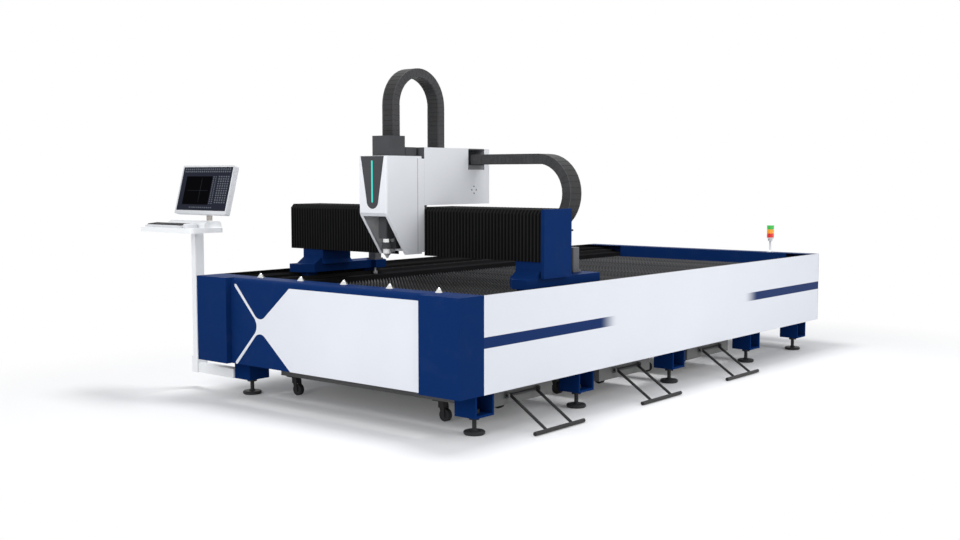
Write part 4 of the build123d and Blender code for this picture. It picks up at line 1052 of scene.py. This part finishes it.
# white floor that keeps the shadow under and close to the machine
def floorFinish():
    ground = Finish("studioFloor")

    def vector(operation, inputs, out="Vector"):
        return ground.node("ShaderNodeVectorMath", {"operation": operation}, inputs, out)

    spread = vector("ABSOLUTE", {0: ground.where})
    spread = vector("SUBTRACT", {0: spread, 1: stage["reach"]})
    spread = vector("MAXIMUM", {0: spread, 1: (0.0, 0.0, 0.0)})
    distance = vector("LENGTH", {0: spread}, "Value")
    far = ground.step(distance, stage["fadeStart"], stage["fadeEnd"])
    share = ground.inSight() * (far + (1 - far) * (1 - stage["shade"]))
    ground.wear({"Base Color": stage["floor"], "Roughness": stage["floorRough"]})
    shader = Wire(ground, ground.shader.outputs[0])
    lit = ground.node("ShaderNodeEmission", {}, plainWhite)
    both = ground.node("ShaderNodeMixShader", {}, {0: share, 1: shader, 2: lit})
    ground.feed(ground.tree.nodes["Material Output"], {"Surface": both})
    return ground.material


floor = newPiece("studioFloor", meshFrom("studioFloor", buildFloor))
floor.data.materials.append(floorFinish())

# soft sky for the light, plain white for the eye
world = bpy.data.worlds.new("studio")
bpy.context.scene.world = world
world.use_nodes = True
air = NodeBook(world.node_tree)
sky = air.tree.nodes["Background"]
air.feed(sky, {"Color": stage["sky"], "Strength": stage["air"]})
white = air.node("ShaderNodeBackground", {}, plainWhite)
views = {0: air.inSight(), 1: Wire(air, sky.outputs[0]), 2: white}
choice = air.node("ShaderNodeMixShader", {}, views)
air.feed(air.tree.nodes["World Output"], {"Surface": choice})

lamps = {
    "topLamp": {"at": (-0.3, 2.2, 6.2), "aim": (-0.1, 2.2, 0.5), "size": 1.8, "power": 210.0},
    "frontLamp": {"at": (1.4, -5.5, 3.4), "aim": (-0.3, 1.2, 1.1), "size": 3.5, "power": 170.0},
    "sideLamp": {"at": (6.5, 2.8, 3.2), "aim": (0.6, 2.6, 0.7), "size": 3.5, "power": 135.0},
}
for name, lamp in lamps.items():
    data = bpy.data.lights.new(name, "AREA")
    data.size = lamp["size"]
    data.energy = lamp["power"]
    light = bpy.data.objects.new(name, data)
    bpy.context.scene.collection.objects.link(light)
    light.location = place(*lamp["at"])
    beam = place(*lamp["aim"]) - light.location
    light.rotation_euler = beam.to_track_quat("-Z", "Y").to_euler()

eye = {"at": (5.14375, -4.70815, 1.45), "turn": 39.5, "dip": 4.63, "lens": 43.59, "sensor": 36.0,
       "far": 200.0}
cameraData = bpy.data.cameras.new("camera")
cameraData.lens = eye["lens"]
cameraData.sensor_width = eye["sensor"]
cameraData.clip_end = eye["far"]
camera = bpy.data.objects.new("camera", cameraData)
bpy.context.scene.collection.objects.link(camera)
camera.location = place(*eye["at"])
camera.rotation_euler = (math.radians(90.0 - eye["dip"]), 0.0, math.radians(eye["turn"]))
bpy.context.scene.camera = camera
bpy.context.scene.view_settings.view_transform = "Standard"
print("stage lit")
